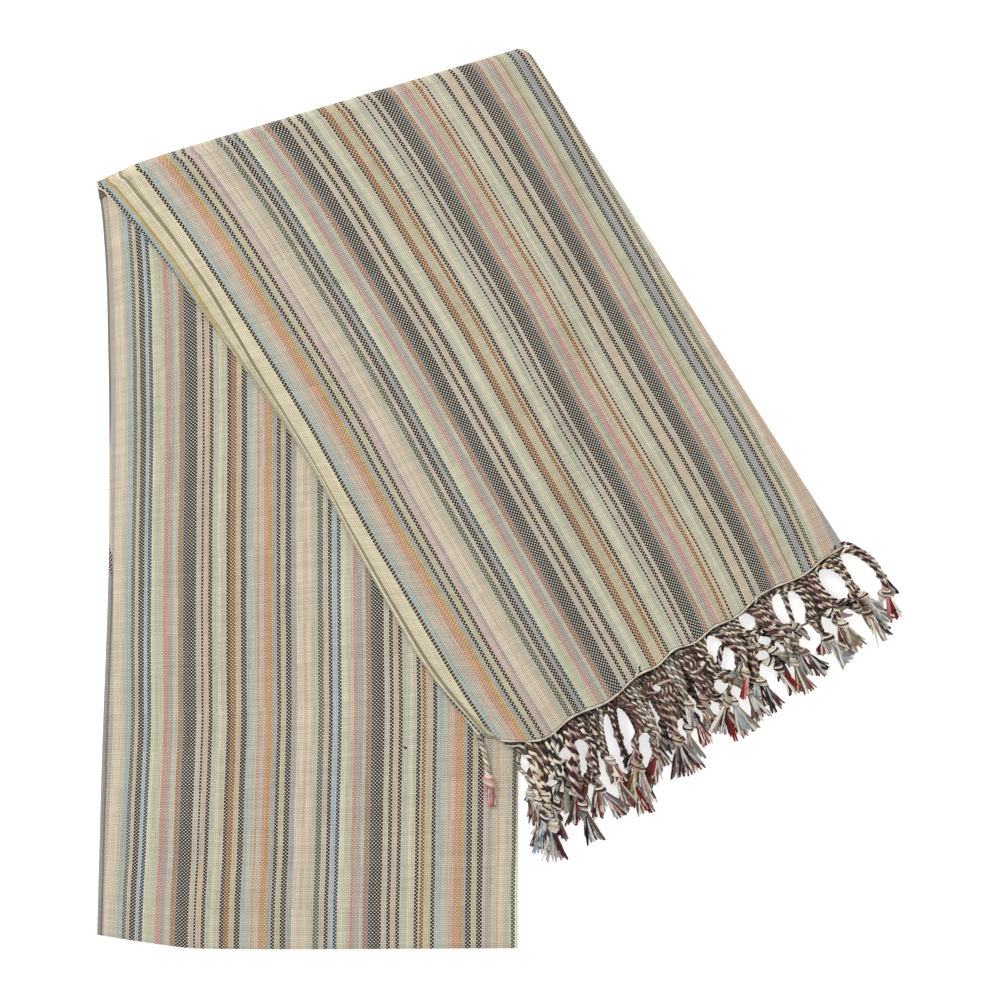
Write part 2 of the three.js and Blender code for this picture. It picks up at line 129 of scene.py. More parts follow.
def upper_leg_plan(share, along):
    start = fold_axis(share, np.ones_like(share))
    bow = read_table(SIDE_BOW, along) * (1 - share)
    return start + (hem_plan(share) - start) * along[..., None] + FOLD_ALONG * bow[..., None]


def upper_leg_lift(plan, along):
    sunk = smoothstep(plan[..., 0], RAMP["start"], RAMP["start"] + RAMP["width"])
    return UPPER_LEG_LIFT * (1 - sunk * smoothstep(along, 0, RAMP["fade"]))


def towel_point(share, along, depth):
    """Points of the folded towel in millimetres, for arrays of one shape."""
    share, along, depth = np.broadcast_arrays(share, along, depth)
    low = lower_leg_plan(share, np.clip(along, 0, 1))
    turn = np.clip(along - 1, 0, 1)
    radius = FOLD_RADIUS - depth
    fold = fold_axis(share, turn) + FOLD_OUT * (radius * np.sin(turn * math.pi))[..., None]
    up_along = np.maximum(along - 2, 0)
    up = upper_leg_plan(share, up_along)
    height = np.where(along <= 1, depth, FOLD_RADIUS - radius * np.cos(turn * math.pi))
    height = np.where(along < 2, height, upper_leg_lift(up, up_along) + LEG_THICKNESS - depth)
    plan = np.where((along <= 1)[..., None], low, np.where((along < 2)[..., None], fold, up))
    return np.concatenate([plan, height[..., None]], -1)


HALF, START, END = np.float64(0.5), np.float64(0.0), np.float64(1.0)
LOWER_LENGTH = distance(lower_leg_plan(HALF, END), lower_leg_plan(HALF, START))
UPPER_LENGTH = distance(upper_leg_plan(HALF, END), upper_leg_plan(HALF, START))
FOLD_LENGTH = math.pi * FOLD_RADIUS


def length_at(along):
    """Millimetres of cloth from the foot to `along`."""
    legs = np.clip(along, 0, 1) * LOWER_LENGTH + np.clip(along - 1, 0, 1) * FOLD_LENGTH
    return legs + np.maximum(along - 2, 0) * UPPER_LENGTH


# Objects
def new_object(name, points, faces, uv, material, replaces):
    """A mesh piece from points in millimetres, with its weave coordinates in metres as the UV map `cloth`."""
    mesh = bpy.data.meshes.new(name)
    metres = (np.asarray(points) + np.array((*MIDDLE, 0.0))) * MM
    mesh.from_pydata(metres.tolist(), [], faces)
    layer = mesh.uv_layers.new(name="cloth")
    corners = np.empty(len(mesh.loops), int)
    mesh.loops.foreach_get("vertex_index", corners)
    layer.data.foreach_set("uv", np.asarray(uv, float)[corners].ravel())
    mesh.polygons.foreach_set("use_smooth", np.ones(len(mesh.polygons), bool))
    mesh.materials.append(material)
    mesh.validate()
    mesh.update()
    obj = bpy.data.objects.new(name, mesh)
    bpy.context.scene.collection.objects.link(obj)
    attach(obj, "root")
    if replaces:
        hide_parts(replaces)
    return obj


def closed_slab(c, r):
    """Faces of a closed sheet of two grids of c columns and r rows that share their border."""
    top = np.arange(r * c).reshape(r, c)
    low = top.copy()
    low[1:-1, 1:-1] = r * c + np.arange((r - 2) * (c - 2)).reshape(r - 2, c - 2)
    faces = []
    for j in range(r - 1):
        for i in range(c - 1):
            faces.append((top[j, i], top[j, i + 1], top[j + 1, i + 1], top[j + 1, i]))
            faces.append((low[j, i], low[j + 1, i], low[j + 1, i + 1], low[j, i + 1]))
    return [tuple(int(k) for k in face) for face in faces]


EDGE_STEPS = np.array((0, 0.06, 0.25, 0.55, 1.0, 1.6, 2.4, 3.6, 5.2, 7.4))  # millimetres from an edge
FINE = 2.6  # millimetres between the other stations, across and along
NEAR_FOLD = (LOWER_LENGTH - 30, LOWER_LENGTH + FOLD_LENGTH + 30)


def stations(start, end, every, dense=(0, 0)):
    """Stations from start to end in millimetres, closer together at both ends. Outside the dense stretch only
    each `every`th of the inner ones is kept."""
    inner = np.arange(start + EDGE_STEPS[-1] + FINE, end - EDGE_STEPS[-1] - 1, FINE)
    kept = (np.arange(len(inner)) % every == 0) | ((inner > dense[0]) & (inner < dense[1]))
    return np.unique(np.round(np.concatenate([start + EDGE_STEPS, inner[kept], end - EDGE_STEPS]), 3))


def rounding(border, radius):
    """0 at the edge of a sheet, 1 from `radius` inwards, along a quarter circle."""
    t = 1 - np.clip(border / radius, 0, 1)
    return np.sqrt(1 - t * t)


def along_of(length):
    """The inverse of length_at."""
    low = np.clip(length / LOWER_LENGTH, 0, 1)
    turn = np.clip((length - LOWER_LENGTH) / FOLD_LENGTH, 0, 1)
    up = np.maximum(length - LOWER_LENGTH - FOLD_LENGTH, 0) / UPPER_LENGTH
    return low + turn + up


def shared_border(top, low):
    """The rows of two grids in one list, where the lower one takes its border from the upper."""
    size = top.shape[-1]
    return np.concatenate([top.reshape(-1, size), low[1:-1, 1:-1].reshape(-1, size)])


def cloth_piece(
    name, start, end, left, right, depth, thick, chart, material, replaces, lift=None, out=None, every=(1, 1)
):
    """One stretch of cloth as a thin closed sheet from `start` to `end`, in units of `along`.

    left and right give its insets in millimetres, depth its middle, thick its thickness, chart the stripes'
    coordinate, lift its swells and out a shift of its points, each as a function of arrays. every thins out a
    hidden layer's stations, across and along."""
    lengths = stations(float(length_at(start)), float(length_at(end)), every[1], NEAR_FOLD)
    across = stations(0.0, STRIP_WIDTH, every[0])
    span = across / STRIP_WIDTH
    grid_length, grid_span = np.meshgrid(lengths, span, indexing="ij")
    along = along_of(grid_length)
    left_at, right_at = left(along), right(along)
    place = left_at + grid_span * (STRIP_WIDTH - left_at - right_at)
    to_left, to_right = place - left_at, STRIP_WIDTH - right_at - place
    ends = np.minimum(grid_length - lengths[0], lengths[-1] - grid_length)
    middle = depth(place, along, to_left, to_right)
    wall = thick(place, along, to_left, to_right)
    half = wall / 2
    half = half * rounding(np.minimum(to_left, to_right), half) * rounding(ends, half)
    share = place / STRIP_WIDTH
    faces = closed_slab(len(across), len(lengths))
    sides = []
    for sign in (-1, 1):
        points = towel_point(share, along, middle + sign * half)
        if lift:
            points[..., 2] += lift(points, place, along)
        if out:
            points += out(place, along)
        sides.append(points)
    uv = np.stack([chart(place, along), grid_length], -1) * MM
    points, uv = shared_border(*sides), shared_border(uv, uv)
    return new_object(name, points, faces, uv, material, replaces)


# Colours of the stripes as they look woven, with the cream weft between their yarns. Some are painted light,
# not stripes: shade, crease, edge and turned are painted shade, shadow is a painted shadow and rim is a
# painted highlight.
STRIPE_COLOURS = {
    "straw": (213, 203, 173),
    "maroon": (78, 50, 48),
    "sea": (166, 177, 169),
    "oat": (190, 179, 162),
    "rose": (194, 174, 154),
    "coral": (196, 151, 124),
    "gold": (186, 152, 94),
    "olive": (177, 170, 138),
    "blue_grey": (168, 164, 155),
    "lime": (187, 180, 153),
    "blush": (197, 174, 165),
    "peach": (207, 194, 173),
    "beige": (197, 181, 158),
    "mint": (183, 182, 164),
    "moss": (114, 116, 97),
    "sky": (170, 180, 182),
    "navy": (80, 97, 104),
    "haze": (160, 160, 158),
    "slate": (86, 96, 93),
    "shade": (160, 150, 122),
    "cream": (190, 183, 163),
    "leaf": (187, 188, 163),
    "pink": (188, 149, 140),
    "rust": (161, 132, 112),
    "teal": (62, 90, 97),
    "dark": (74, 52, 48),
    "yellow": (202, 199, 172),
    "brown": (155, 114, 62),
    "sage": (188, 178, 152),
    "white": (222, 214, 196),
    "grey": (176, 168, 154),
    "edge": (167, 163, 159),
    "ochre": (192, 170, 114),
    "crease": (148, 144, 116),
    "rim": (226, 219, 196),
    "turned": (142, 139, 132),
    "shadow": (112, 97, 84),
}

# Stripes across the strip, each with the millimetre at which it ends
UNDER_STRIPES = [
    # `turned` is painted shade on the lower half of the left side, where the cloth turns down
    ("turned", -6.0), ("maroon", -1.4), ("grey", 3.6), ("peach", 9.6), ("cream", 11.8), ("sea", 14.1),
    ("moss", 16.5), ("oat", 19.1), ("maroon", 21.5), ("sky", 23.8), ("navy", 25.9), ("yellow", 28.7),
    ("leaf", 32.6), ("beige", 34.1), ("pink", 36.7), ("blue_grey", 39.3), ("cream", 41.9), ("rust", 44.9),
    ("teal", 47.6), ("dark", 52.8), ("oat", 55.5), ("dark", 57.4), ("rose", 59.9), ("dark", 61.8),
    ("mint", 65.4), ("yellow", 67.9), ("cream", 70.7), ("dark", 72.5), ("beige", 73.5), ("brown", 76.2),
    ("sage", 79.7), ("maroon", 82.3), ("sea", 85.1), ("mint", 88.6), ("coral", 89.7), ("oat", 93.6),
    ("coral", 95.2), ("gold", 97.8), ("blue_grey", 100.2), ("maroon", 102.9), ("lime", 106.4),
    ("maroon", 109.2), ("blue_grey", 112.8), ("peach", 116.4), ("beige", 118.2), ("peach", 120.7),
    ("beige", 121.9), ("mint", 125.5), ("moss", 128.2), ("oat", 130.9), ("maroon", 133.5), ("sky", 136.3),
    ("navy", 138.8), ("yellow", 141.5), ("leaf", 144.4), ("beige", 146.0), ("pink", 148.6),
    ("blue_grey", 151.3), ("cream", 153.7), ("rust", 156.6), ("teal", 159.3), ("dark", 164.5),
    ("oat", 167.1), ("dark", 169.0), ("rose", 173.1), ("dark", 175.1), ("mint", 178.6), ("yellow", 181.0),
    ("cream", 183.8), ("dark", 185.5), ("beige", 186.4), ("brown", 189.1), ("sage", 192.5),
    ("maroon", 195.0), ("sea", 197.9), ("mint", 201.1), ("rose", 205.8), ("coral", 208.4),
    ("gold", 210.8), ("blue_grey", 213.4), ("maroon", 216.2), ("lime", 219.7), ("maroon", 222.4),
    ("blush", 225.1), ("blue_grey", 227.6), ("beige", 231.1), ("rose", 232.5), ("peach", 235.2),
    ("beige", 236.7), ("mint", 239.3), ("moss", 241.6), ("white", 262.0),
]
OVER_STRIPES = [
    ("straw", 11.7), ("maroon", 13.9), ("sea", 17.4), ("oat", 21.6), ("rose", 24.3), ("coral", 27.1),
    ("gold", 29.1), ("olive", 30.3), ("blue_grey", 32.3), ("maroon", 34.9), ("lime", 37.6),
    ("maroon", 40.3), ("blush", 42.8), ("blue_grey", 45.8), ("peach", 49.2), ("beige", 51.0),
    ("peach", 52.7), ("beige", 54.6), ("mint", 58.2), ("moss", 60.8), ("oat", 63.6), ("maroon", 66.2),
    ("haze", 68.8), ("slate", 70.7), ("yellow", 73.4), ("leaf", 76.0), ("beige", 77.9), ("pink", 80.6),
    ("blue_grey", 83.6), ("cream", 85.7), ("rust", 88.6), ("teal", 91.1), ("dark", 96.5), ("oat", 99.2),
    ("dark", 101.7), ("beige", 105.4), ("dark", 108.0), ("mint", 111.6), ("yellow", 114.2),
    ("cream", 117.7), ("dark", 118.6), ("brown", 121.4), ("sage", 126.5), ("brown", 129.2),
    ("beige", 130.2), ("dark", 131.9), ("cream", 134.7), ("yellow", 137.1), ("mint", 140.7),
    ("dark", 142.0), ("oat", 145.0), ("dark", 146.9), ("oat", 149.2), ("dark", 154.3), ("teal", 156.7),
    ("rust", 159.4), ("cream", 161.9), ("blue_grey", 164.3), ("pink", 167.2), ("beige", 168.9),
    ("sage", 171.5), ("brown", 174.1), ("beige", 175.2), ("dark", 176.9), ("cream", 179.6),
    ("yellow", 182.0), ("mint", 185.6), ("dark", 187.5), ("beige", 192.7), ("dark", 195.3),
    ("oat", 197.9), ("dark", 203.3), ("teal", 205.8), ("rust", 208.6), ("cream", 211.1),
    # `crease` is painted shade in the crease along the upper leg
    ("blue_grey", 213.6), ("pink", 216.4), ("beige", 219.2), ("crease", 220.1), ("sage", 222.5),
    ("leaf", 225.4), ("slate", 227.7), ("haze", 230.6), ("maroon", 233.0), ("beige", 235.3),
    # `edge` is painted shade on the right side, where the sheet turns down
    ("moss", 237.5), ("mint", 239.8), ("peach", 241.8), ("rose", 248.7), ("edge", 262.0),
]
LOWEST_STRIPES = [
    # `shadow` is painted shadow under the fold, and `rim` a painted highlight on the selvedge's raised edge
    ("shadow", -2.0), ("rim", 0.9), ("navy", 3.1), ("sea", 5.3), ("ochre", 7.0), ("lime", 9.4),
    ("straw", 24.0), *OVER_STRIPES[3:],
]
HIDDEN_STRIPES = [
    # `rim` is a painted highlight on the folds' rims, and `shade` painted shade in the trough under the top
    # sheet's edge
    ("ochre", 0.4), ("rim", 1.3), ("straw", 9.3), ("rim", 10.0), ("shade", 12.4), ("straw", 24.0),
    *UNDER_STRIPES[11:],
]

# How far the stripes wander sideways in millimetres: rows of (share of the leg, shift at each station across)
OVER_STATIONS = (30, 90, 150, 210)
OVER_DRIFT = [
    (0.00, 11.3, 9.2, 7.7, 6.6), (0.13, 7.2, 6.4, 6.0, 5.2), (0.26, 4.6, 4.0, 3.8, 3.2),
    (0.40, 1.2, 1.4, 1.6, 1.2), (0.46, 0.0, 0.0, 0.0, 0.0), (0.53, -1.4, -1.2, -1.8, -1.0),
    (0.60, -1.2, -1.4, -2.2, -1.8), (0.73, 0.0, -1.6, -2.2, -2.6), (0.80, 0.2, -1.8, -2.8, -4.0),
    (0.87, -0.2, -2.6, -3.8, -5.6), (0.94, -2.4, -5.0, -6.8, -8.6), (1.00, -5.0, -8.0, -10.5, -12.0),
]
UNDER_STATIONS = (40, 100, 160)
UNDER_DRIFT = [
    (0.00, -0.2, -0.2, -0.2), (0.06, 0.0, 0.0, 0.0), (0.11, 0.8, 0.8, 0.4), (0.17, 1.2, 1.2, 0.6),
    (0.28, 2.0, 1.8, 1.0), (0.33, 1.2, 1.2, 0.4), (0.39, 0.2, 0.4, -0.3), (0.44, -0.4, -0.2, -0.8),
    (0.52, -0.8, -0.6, -1.2), (0.66, 0.0, -0.4, -0.8), (0.80, 0.2, 0.0, 0.0), (1.00, 0.2, 0.0, 0.0),
]


def drift(table, places, place, along):
    """Sideways shift of the stripes at `place` millimetres across and `along` a leg."""
    columns = [read_table([(row[0], row[k + 1]) for row in table], along) for k in range(len(places))]
    at = np.clip((place - places[0]) / (places[1] - places[0]), 0, len(places) - 1.001)
    i = at.astype(int)
    stack = np.stack(columns)
    near = np.take_along_axis(stack, i[None], 0)[0]
    far = np.take_along_axis(stack, i[None] + 1, 0)[0]
    return near + (far - near) * (at - i)


def over_chart(place, along):
    return place - drift(OVER_DRIFT, OVER_STATIONS, place, on_upper(along))


def under_chart(place, along):
    return place - drift(UNDER_DRIFT, UNDER_STATIONS, place, np.clip(along, 0, 1))


# Materials
YARN_PITCH = 1.06 * MM
WEFT = (214, 206, 188)
WEFT_SHARE = 0.35  # of the surface
TINTS = ((100, 0.22), (180, 0.5))  # a stripe's brightness, and the share of its colour in the weft over it
SMOOTH_TINT = 0.85
SMOOTH_STRIPES = ("shade", "crease", "ochre", "edge", "rim", "shadow", "turned")
DARKEST = 12
BEFORE_ALL = -30.0  # a place left of every stripe
MOST_STOPS = 30  # in one colour ramp
WANDER = 0.5 * MM  # of the yarns from their line
WEFT_OVAL = (0.54, 0.4)  # half width and half length of the weft where it is on top, in yarns
SLUB_RUNS = (23.0, 31.0)  # yarns crossed by one thicker or thinner run of warp and weft
SHADE = {"base": 0.48, "warp": 0.16, "weft": 0.12, "soft": 0.12, "height": 0.54}
WEAVE_DEPTH = 0.16 * MM
# The hem's pale weft edge, painted lighter as a highlight where it lifts, and painted shade under and before
# it
HEM_EDGE = (222, 214, 194)
HEM_SHADE = (92, 78, 70)
RAGGED = 2.6 * MM
STAIN = {"colour": (96, 112, 84), "place": 70.0, "beyond_fold": 98.0, "radius": 3.5 * MM, "core": 0.5 * MM}


def linear(colour):
    """A display colour of 0 to 255 as scene light."""
    scaled = np.array(colour, float) / 255
    return np.where(scaled <= 0.04045, scaled / 12.92, ((scaled + 0.055) / 1.055) ** 2.4)


def yarn_colour(name):
    """The yarn whose mixture with the weft gives the stripe's colour, and its share in the weft's colour."""
    woven = np.array(STRIPE_COLOURS[name], float)
    tint = SMOOTH_TINT if name in SMOOTH_STRIPES else np.interp(woven.mean(), *zip(*TINTS))
    cream = WEFT_SHARE * (1 - tint)
    yarn = (woven - cream * np.array(WEFT)) / (1 - cream)
    return *linear(np.maximum(yarn, DARKEST)), float(tint)


class Wire:
    """A node's output. A sum, product or other sign between wires and numbers adds the math node for it."""

    def __init__(self, graph, socket):
        self.graph = graph
        self.socket = socket

    def __add__(self, other):
        return self.graph.math("ADD", self, other)

    def __sub__(self, other):
        return self.graph.math("SUBTRACT", self, other)

    def __rsub__(self, other):
        return self.graph.math("SUBTRACT", other, self)

    def __mul__(self, other):
        return self.graph.math("MULTIPLY", self, other)

    def __truediv__(self, other):
        return self.graph.math("DIVIDE", self, other)

    def __pow__(self, other):
        return self.graph.math("POWER", self, other)

    def floor(self):
        return self.graph.math("FLOOR", self)

    def fraction(self):
        return self.graph.math("FRACT", self)

    __radd__ = __add__
    __rmul__ = __mul__


class Graph:
    """Short names for making a material's nodes."""

    def __init__(self, name):
        self.material = bpy.data.materials.new(name)
        self.material.use_nodes = True
        self.nodes = self.material.node_tree.nodes
        self.links = self.material.node_tree.links
        self.shader = self.nodes["Principled BSDF"]

    def put(self, socket, value):
        if isinstance(value, Wire):
            self.links.new(value.socket, socket)
        elif hasattr(value, "__len__") and len(value) == 3 and socket.type == "RGBA":
            socket.default_value = (*value, 1.0)
        else:
            socket.default_value = value

    def node(self, kind, inputs, output=0, **settings):
        """One node, with its settings and its inputs by name or number."""
        node = self.nodes.new("ShaderNode" + kind)
        for key, value in settings.items():
            setattr(node, key, value)
        for key, value in inputs.items():
            self.put(node.inputs[key], value)
        return Wire(self, node.outputs[output])

    def math(self, operation, a, b=0.0):
        return self.node("Math", {0: a, 1: b}, operation=operation)

    def mix(self, factor, a, b, blend="MIX"):
        return self.node("Mix", {0: factor, 6: a, 7: b}, 2, data_type="RGBA", blend_type=blend)

    def map_range(self, value, low, high, to_low=0.0, to_high=1.0):
        inputs = {0: value, 1: low, 2: high, 3: to_low, 4: to_high}
        return self.node("MapRange", inputs, interpolation_type="SMOOTHSTEP")

    def noise(self, vector, scale, detail=2.0, roughness=0.5):
        inputs = {"Vector": vector, "Scale": scale, "Detail": detail, "Roughness": roughness}
        return self.node("TexNoise", inputs)

    def vector(self, x, y, z=0.0):
        return self.node("CombineXYZ", {0: x, 1: y, 2: z})

    def white_noise(self, vector):
        return self.node("TexWhiteNoise", {"Vector": vector}, noise_dimensions="2D")

    def uv(self):
        whole = self.node("UVMap", {}, uv_map="cloth")
        split = [self.node("SeparateXYZ", {0: whole}, k) for k in range(2)]
        return whole, *split

    def steps(self, value, stops):
        """Colour and alpha of a ramp of flat steps: stops are (from where, colour), with or without alpha."""
        low, high = stops[0][0], stops[-1][0] + 1e-6
        node = self.nodes.new("ShaderNodeValToRGB")
        node.color_ramp.interpolation = "CONSTANT"
        elements = node.color_ramp.elements
        elements.remove(elements[1])
        for k, (place, colour) in enumerate(stops):
            at = (place - low) / (high - low)
            element = elements[0] if k == 0 else elements.new(at)
            element.position = at
            element.color = (*colour, 1.0)[:4]
        self.put(node.inputs[0], (value - low) / (high - low))
        return Wire(self, node.outputs[0]), Wire(self, node.outputs[1])

    def surface(self, colour, shade, height, depth, roughness, specular, sheen):
        """The finished cloth or yarn: its colour dimmed by its shade, and raised by its height."""
        relief = self.node("Bump", {"Height": height, "Distance": depth, "Strength": 1.0})
        dimmed = self.mix(1.0, colour, self.vector(shade, shade, shade), "MULTIPLY")
        self.put(self.shader.inputs["Normal"], relief)
        self.put(self.shader.inputs["Base Color"], dimmed)
        self.shader.inputs["Roughness"].default_value = roughness
        self.shader.inputs["Specular IOR Level"].default_value = specular
        self.shader.inputs["Sheen Weight"].default_value = sheen


def stripe_by_yarn(g, place, stripes):
    """The colour of the warp at `place`, and how much of it the weft takes on."""
    starts = [BEFORE_ALL] + [end for _, end in stripes[:-1]]
    stops = [(start, yarn_colour(colour)) for start, (colour, _) in zip(starts, stripes)]
    colour, weft_tint = g.steps(place, stops[:MOST_STOPS])
    for k in range(MOST_STOPS, len(stops), MOST_STOPS):
        ramp, alpha = g.steps(place, stops[k : k + MOST_STOPS])
        beyond = g.math("GREATER_THAN", place, stops[k][0])
        colour = g.mix(beyond, colour, ramp)
        weft_tint = weft_tint + beyond * (alpha - weft_tint)
    return colour, weft_tint


def woven_cloth(name, stripes, light=1.0, hem_at=None, shade_at=None, stained=False):
    """Plain weave: striped warp along the cloth and cream weft across it, yarn by yarn.

    light scales its brightness. hem_at is the length where the cloth ends in a pale weft edge, painted
    lighter as a highlight, behind a groove of painted shade, and shade_at where painted shade darkens it
    before that.
    A stained cloth has a soft green mark."""
    g = Graph(name)
    uv, u, v = g.uv()
    warp = (u + (g.noise(uv, 60.0) - 0.5) * WANDER) / YARN_PITCH
    weft = v / YARN_PITCH
    warp_number, weft_number = warp.floor(), weft.floor()
    p, q = warp.fraction() - 0.5, weft.fraction() - 0.5
    colour, weft_tint = stripe_by_yarn(g, (warp_number + 0.5) * (YARN_PITCH / MM), stripes)
    # Which yarn is on top
    odd = g.math("PINGPONG", warp_number + weft_number, 1.0)
    oval = (p / WEFT_OVAL[0]) ** 2.0 + (q / WEFT_OVAL[1]) ** 2.0
    weft_on_top = odd * g.map_range(oval, 1.15, 0.8)
    round_p, round_q = 1.0 - 4.0 * p**2.0, 1.0 - 4.0 * q**2.0
    warp_height = round_p * ((1.0 - 0.5 * odd) * (0.5 + 0.5 * round_q))
    weft_height = round_q * (0.55 + 0.45 * round_p)
    height = warp_height + weft_on_top * (weft_height - warp_height)
    # Uneven yarns, and soft uneven colour over the cloth
    slub_warp = g.white_noise(g.vector(warp_number, (weft / SLUB_RUNS[0]).floor()))
    slub_weft = g.white_noise(g.vector((warp / SLUB_RUNS[1]).floor(), weft_number))
    uneven = slub_warp * SHADE["warp"] + slub_weft * SHADE["weft"]
    soft = g.noise(uv, 28.0, 3.0) * SHADE["soft"]
    # The height term paints shade in the hollows between the yarns; uneven and soft are the yarns' own uneven
    # tone
    shade = ((SHADE["base"] + uneven) + (soft + height * SHADE["height"])) * light
    woven = g.mix(weft_on_top, colour, g.mix(weft_tint, linear(WEFT), colour))
    # shade_at: painted shade where this layer lies under the top sheet's hem
    if shade_at:
        woven = g.mix(g.map_range(v, (shade_at - 1.0) * MM, (shade_at + 0.4) * MM), woven, linear(HEM_SHADE))
    if hem_at:
        # A groove of painted shade before the hem, then the pale weft edge, painted lighter as a highlight
        # where it lifts
        ragged = (g.noise(uv, 130.0) - 0.5) * RAGGED + v
        groove = g.map_range(ragged, (hem_at - 2.1) * MM, (hem_at - 1.5) * MM, 0.0, 0.55)
        woven = g.mix(groove, woven, linear(HEM_SHADE))
        woven = g.mix(g.map_range(ragged, (hem_at - 1.2) * MM, (hem_at - 0.8) * MM), woven, linear(HEM_EDGE))
    if stained:
        middle = (STAIN["place"] * MM, (LOWER_LENGTH + FOLD_LENGTH + STAIN["beyond_fold"]) * MM, 0.0)
        apart = g.node("VectorMath", {0: uv, 1: middle}, "Value", operation="DISTANCE")
        mark = g.map_range(apart, STAIN["radius"], STAIN["core"], 0.0, 0.5)
        woven = g.mix(mark, woven, linear(STAIN["colour"]))
    g.shader.inputs["Sheen Roughness"].default_value = 0.6
    g.surface(woven, shade, height, WEAVE_DEPTH, roughness=0.92, specular=0.15, sheen=0.08)
    return g.material


YARN_COLOURS = {
    "cream": (226, 216, 196),
    "oat": (196, 180, 158),
    "grey": (150, 146, 140),
    "taupe": (118, 96, 88),
    "maroon": (92, 42, 48),
    "black": (52, 42, 42),
    "red": (158, 44, 42),
    "orange": (214, 138, 78),
    "sky": (150, 176, 194),
    "teal": (72, 104, 116),
    "pink": (222, 140, 142),
    "mint": (176, 190, 166),
    "umber": (98, 74, 60),
    "rose": (186, 150, 148),
    "pale": (232, 226, 214),
    "lilac": (198, 188, 194),
    "bronze": (158, 118, 72),
}
YARN_NAMES = list(YARN_COLOURS)


def fringe_yarn(name):
    """Twisted cotton yarn whose colour is picked by the piece's own coordinate, with fine fibres."""
    g = Graph(name)
    _, u, v = g.uv()
    stops = [(k / len(YARN_NAMES), linear(YARN_COLOURS[name])) for k, name in enumerate(YARN_NAMES)]
    colour, _ = g.steps(u, [*stops, (1.0, (0, 0, 0))])
    place = g.node("TexCoord", {}, "Object")
    fibres = g.noise(place, 2600.0, 3.0, 0.6)
    shade = 0.55 + (fibres * 0.5 + g.noise(place, 260.0) * 0.36)
    # v is painted shade: 1 on the outside of a cord in the open, falling to 0 in the groove between its
    # plies, and lower under the hem and deep in a tuft
    shade = shade * g.map_range(v, 0.22, 0.72, 0.1, 1.0)
    g.surface(colour, shade, fibres, 0.12 * MM, roughness=0.95, specular=0.1, sheen=0.1)
    return g.material


WHOLE_LENGTH = LOWER_LENGTH + FOLD_LENGTH + UPPER_LENGTH
HEM_STEP = 2.6  # how far the layer under the top sheet reaches beyond its hem
under_cloth = woven_cloth("under_leg_weave", UNDER_STRIPES, 1.03)
over_cloth = woven_cloth("over_leg_weave", OVER_STRIPES, hem_at=WHOLE_LENGTH, stained=True)
lowest_cloth = woven_cloth("lowest_layer_weave", LOWEST_STRIPES)
hidden_cloth = woven_cloth(
    "hidden_layers_weave", HIDDEN_STRIPES, hem_at=WHOLE_LENGTH + HEM_STEP, shade_at=WHOLE_LENGTH - 1
)
yarn = fringe_yarn("fringe_yarn_mix")

# Insets of the layers' left sides on the upper leg: (share of the leg, millimetres)
TOP_INSET = [
    (0, 16.8), (0.12, 12.8), (0.21, 11.7), (0.28, 9.2), (0.35, 6.2), (0.4, 5.0), (0.5, 3.3), (0.65, 3.3),
    (0.8, 4.1), (0.92, 4.8), (0.96, 6), (1, 10.5),
]
RIM_INSET = [
    (0, 12.2), (0.12, 9.9), (0.21, 8.7), (0.28, 6.4), (0.35, 3.9), (0.4, 2.9), (0.5, 1.6), (0.9, 1.4), (1, 3),
]
FOURTH_INSET = [(0, 7.0), (0.12, 5.0), (0.21, 3.7), (0.32, 1.8), (0.45, 1.0), (0.9, 1.0), (1, 3.4)]
COVERED = 1.2  # how far the other hidden layers stay behind the top one's edge

# Broad soft swells: x, y, turn in degrees, half length, half width, rise
SWELLS = [
    (-60, 130, -57, 90, 16, 0.7), (70, 60, -60, 120, 20, 0.8), (30, -60, -50, 60, 18, 0.9),
    (128, 10, -70, 50, 16, 0.6), (-150, -60, 84, 110, 24, 0.5), (-60, -200, 70, 70, 22, 0.6),
]


def swell(points):
    height = 0
    for x, y, turn, long, wide, rise in SWELLS:
        angle = math.radians(turn)
        dx, dy = points[..., 0] - x, points[..., 1] - y
        ahead = dx * math.cos(angle) + dy * math.sin(angle)
        beside = dy * math.cos(angle) - dx * math.sin(angle)
        height = height + rise * np.exp(-((ahead / long) ** 2) - (beside / wide) ** 2)
    return height


def ripple(place, along, seed, size):
    """Small uneven waves along the cloth, where its layers shift on each other."""
    length = length_at(along)
    wave = np.sin(place / 9.5 + 1.7 * np.sin(length / 61 + seed) + seed)
    wave = wave + 0.7 * np.sin(place / 23 - length / 140 + 2.1 * seed)
    wave = wave + 0.5 * np.sin(length / 17 + place / 31 + 3.3 * seed)
    return size * wave


def constant(value):
    """The same value everywhere, for an inset, a depth or a thickness."""
    return lambda first, *rest: value + 0 * first


def table(rows):
    """An inset read from rows along the upper leg."""
    return lambda along: read_table(rows, on_upper(along))


SIDE_TURN = (3.4, 3.9)  # width of a sheet's rounded border, and how far it turns down
FOOT_TURN = (3.6, 3.6)
LEFT_TURN = (2.4, 0.9)


def turned(border, shape):
    """Drop of a sheet near its border, along a quarter ellipse."""
    width, drop = shape
    t = 1 - np.clip(border / width, 0, 1)
    return drop * (1 - np.sqrt(1 - np.minimum(t, 0.995) ** 2))


def open_share(points, along):
    """Where the lower leg isn't under the upper one."""
    side = hem_plan(np.float64(0)) - fold_axis(np.float64(0), np.float64(1))
    middle = upper_leg_plan(np.float64(0), np.float64(0.5))
    toward = points[..., :2] - middle
    clear = (side[1] * toward[..., 0] - side[0] * toward[..., 1]) / np.hypot(*side)
    return smoothstep(clear, 6, 30) * smoothstep(along, 0.02, 0.1)


TUCK = [(0.8, 0.0), (0.88, 0.3), (0.94, 0.7), (0.97, 0.7), (1.0, 0.0)]  # (along the lower leg, millimetres)


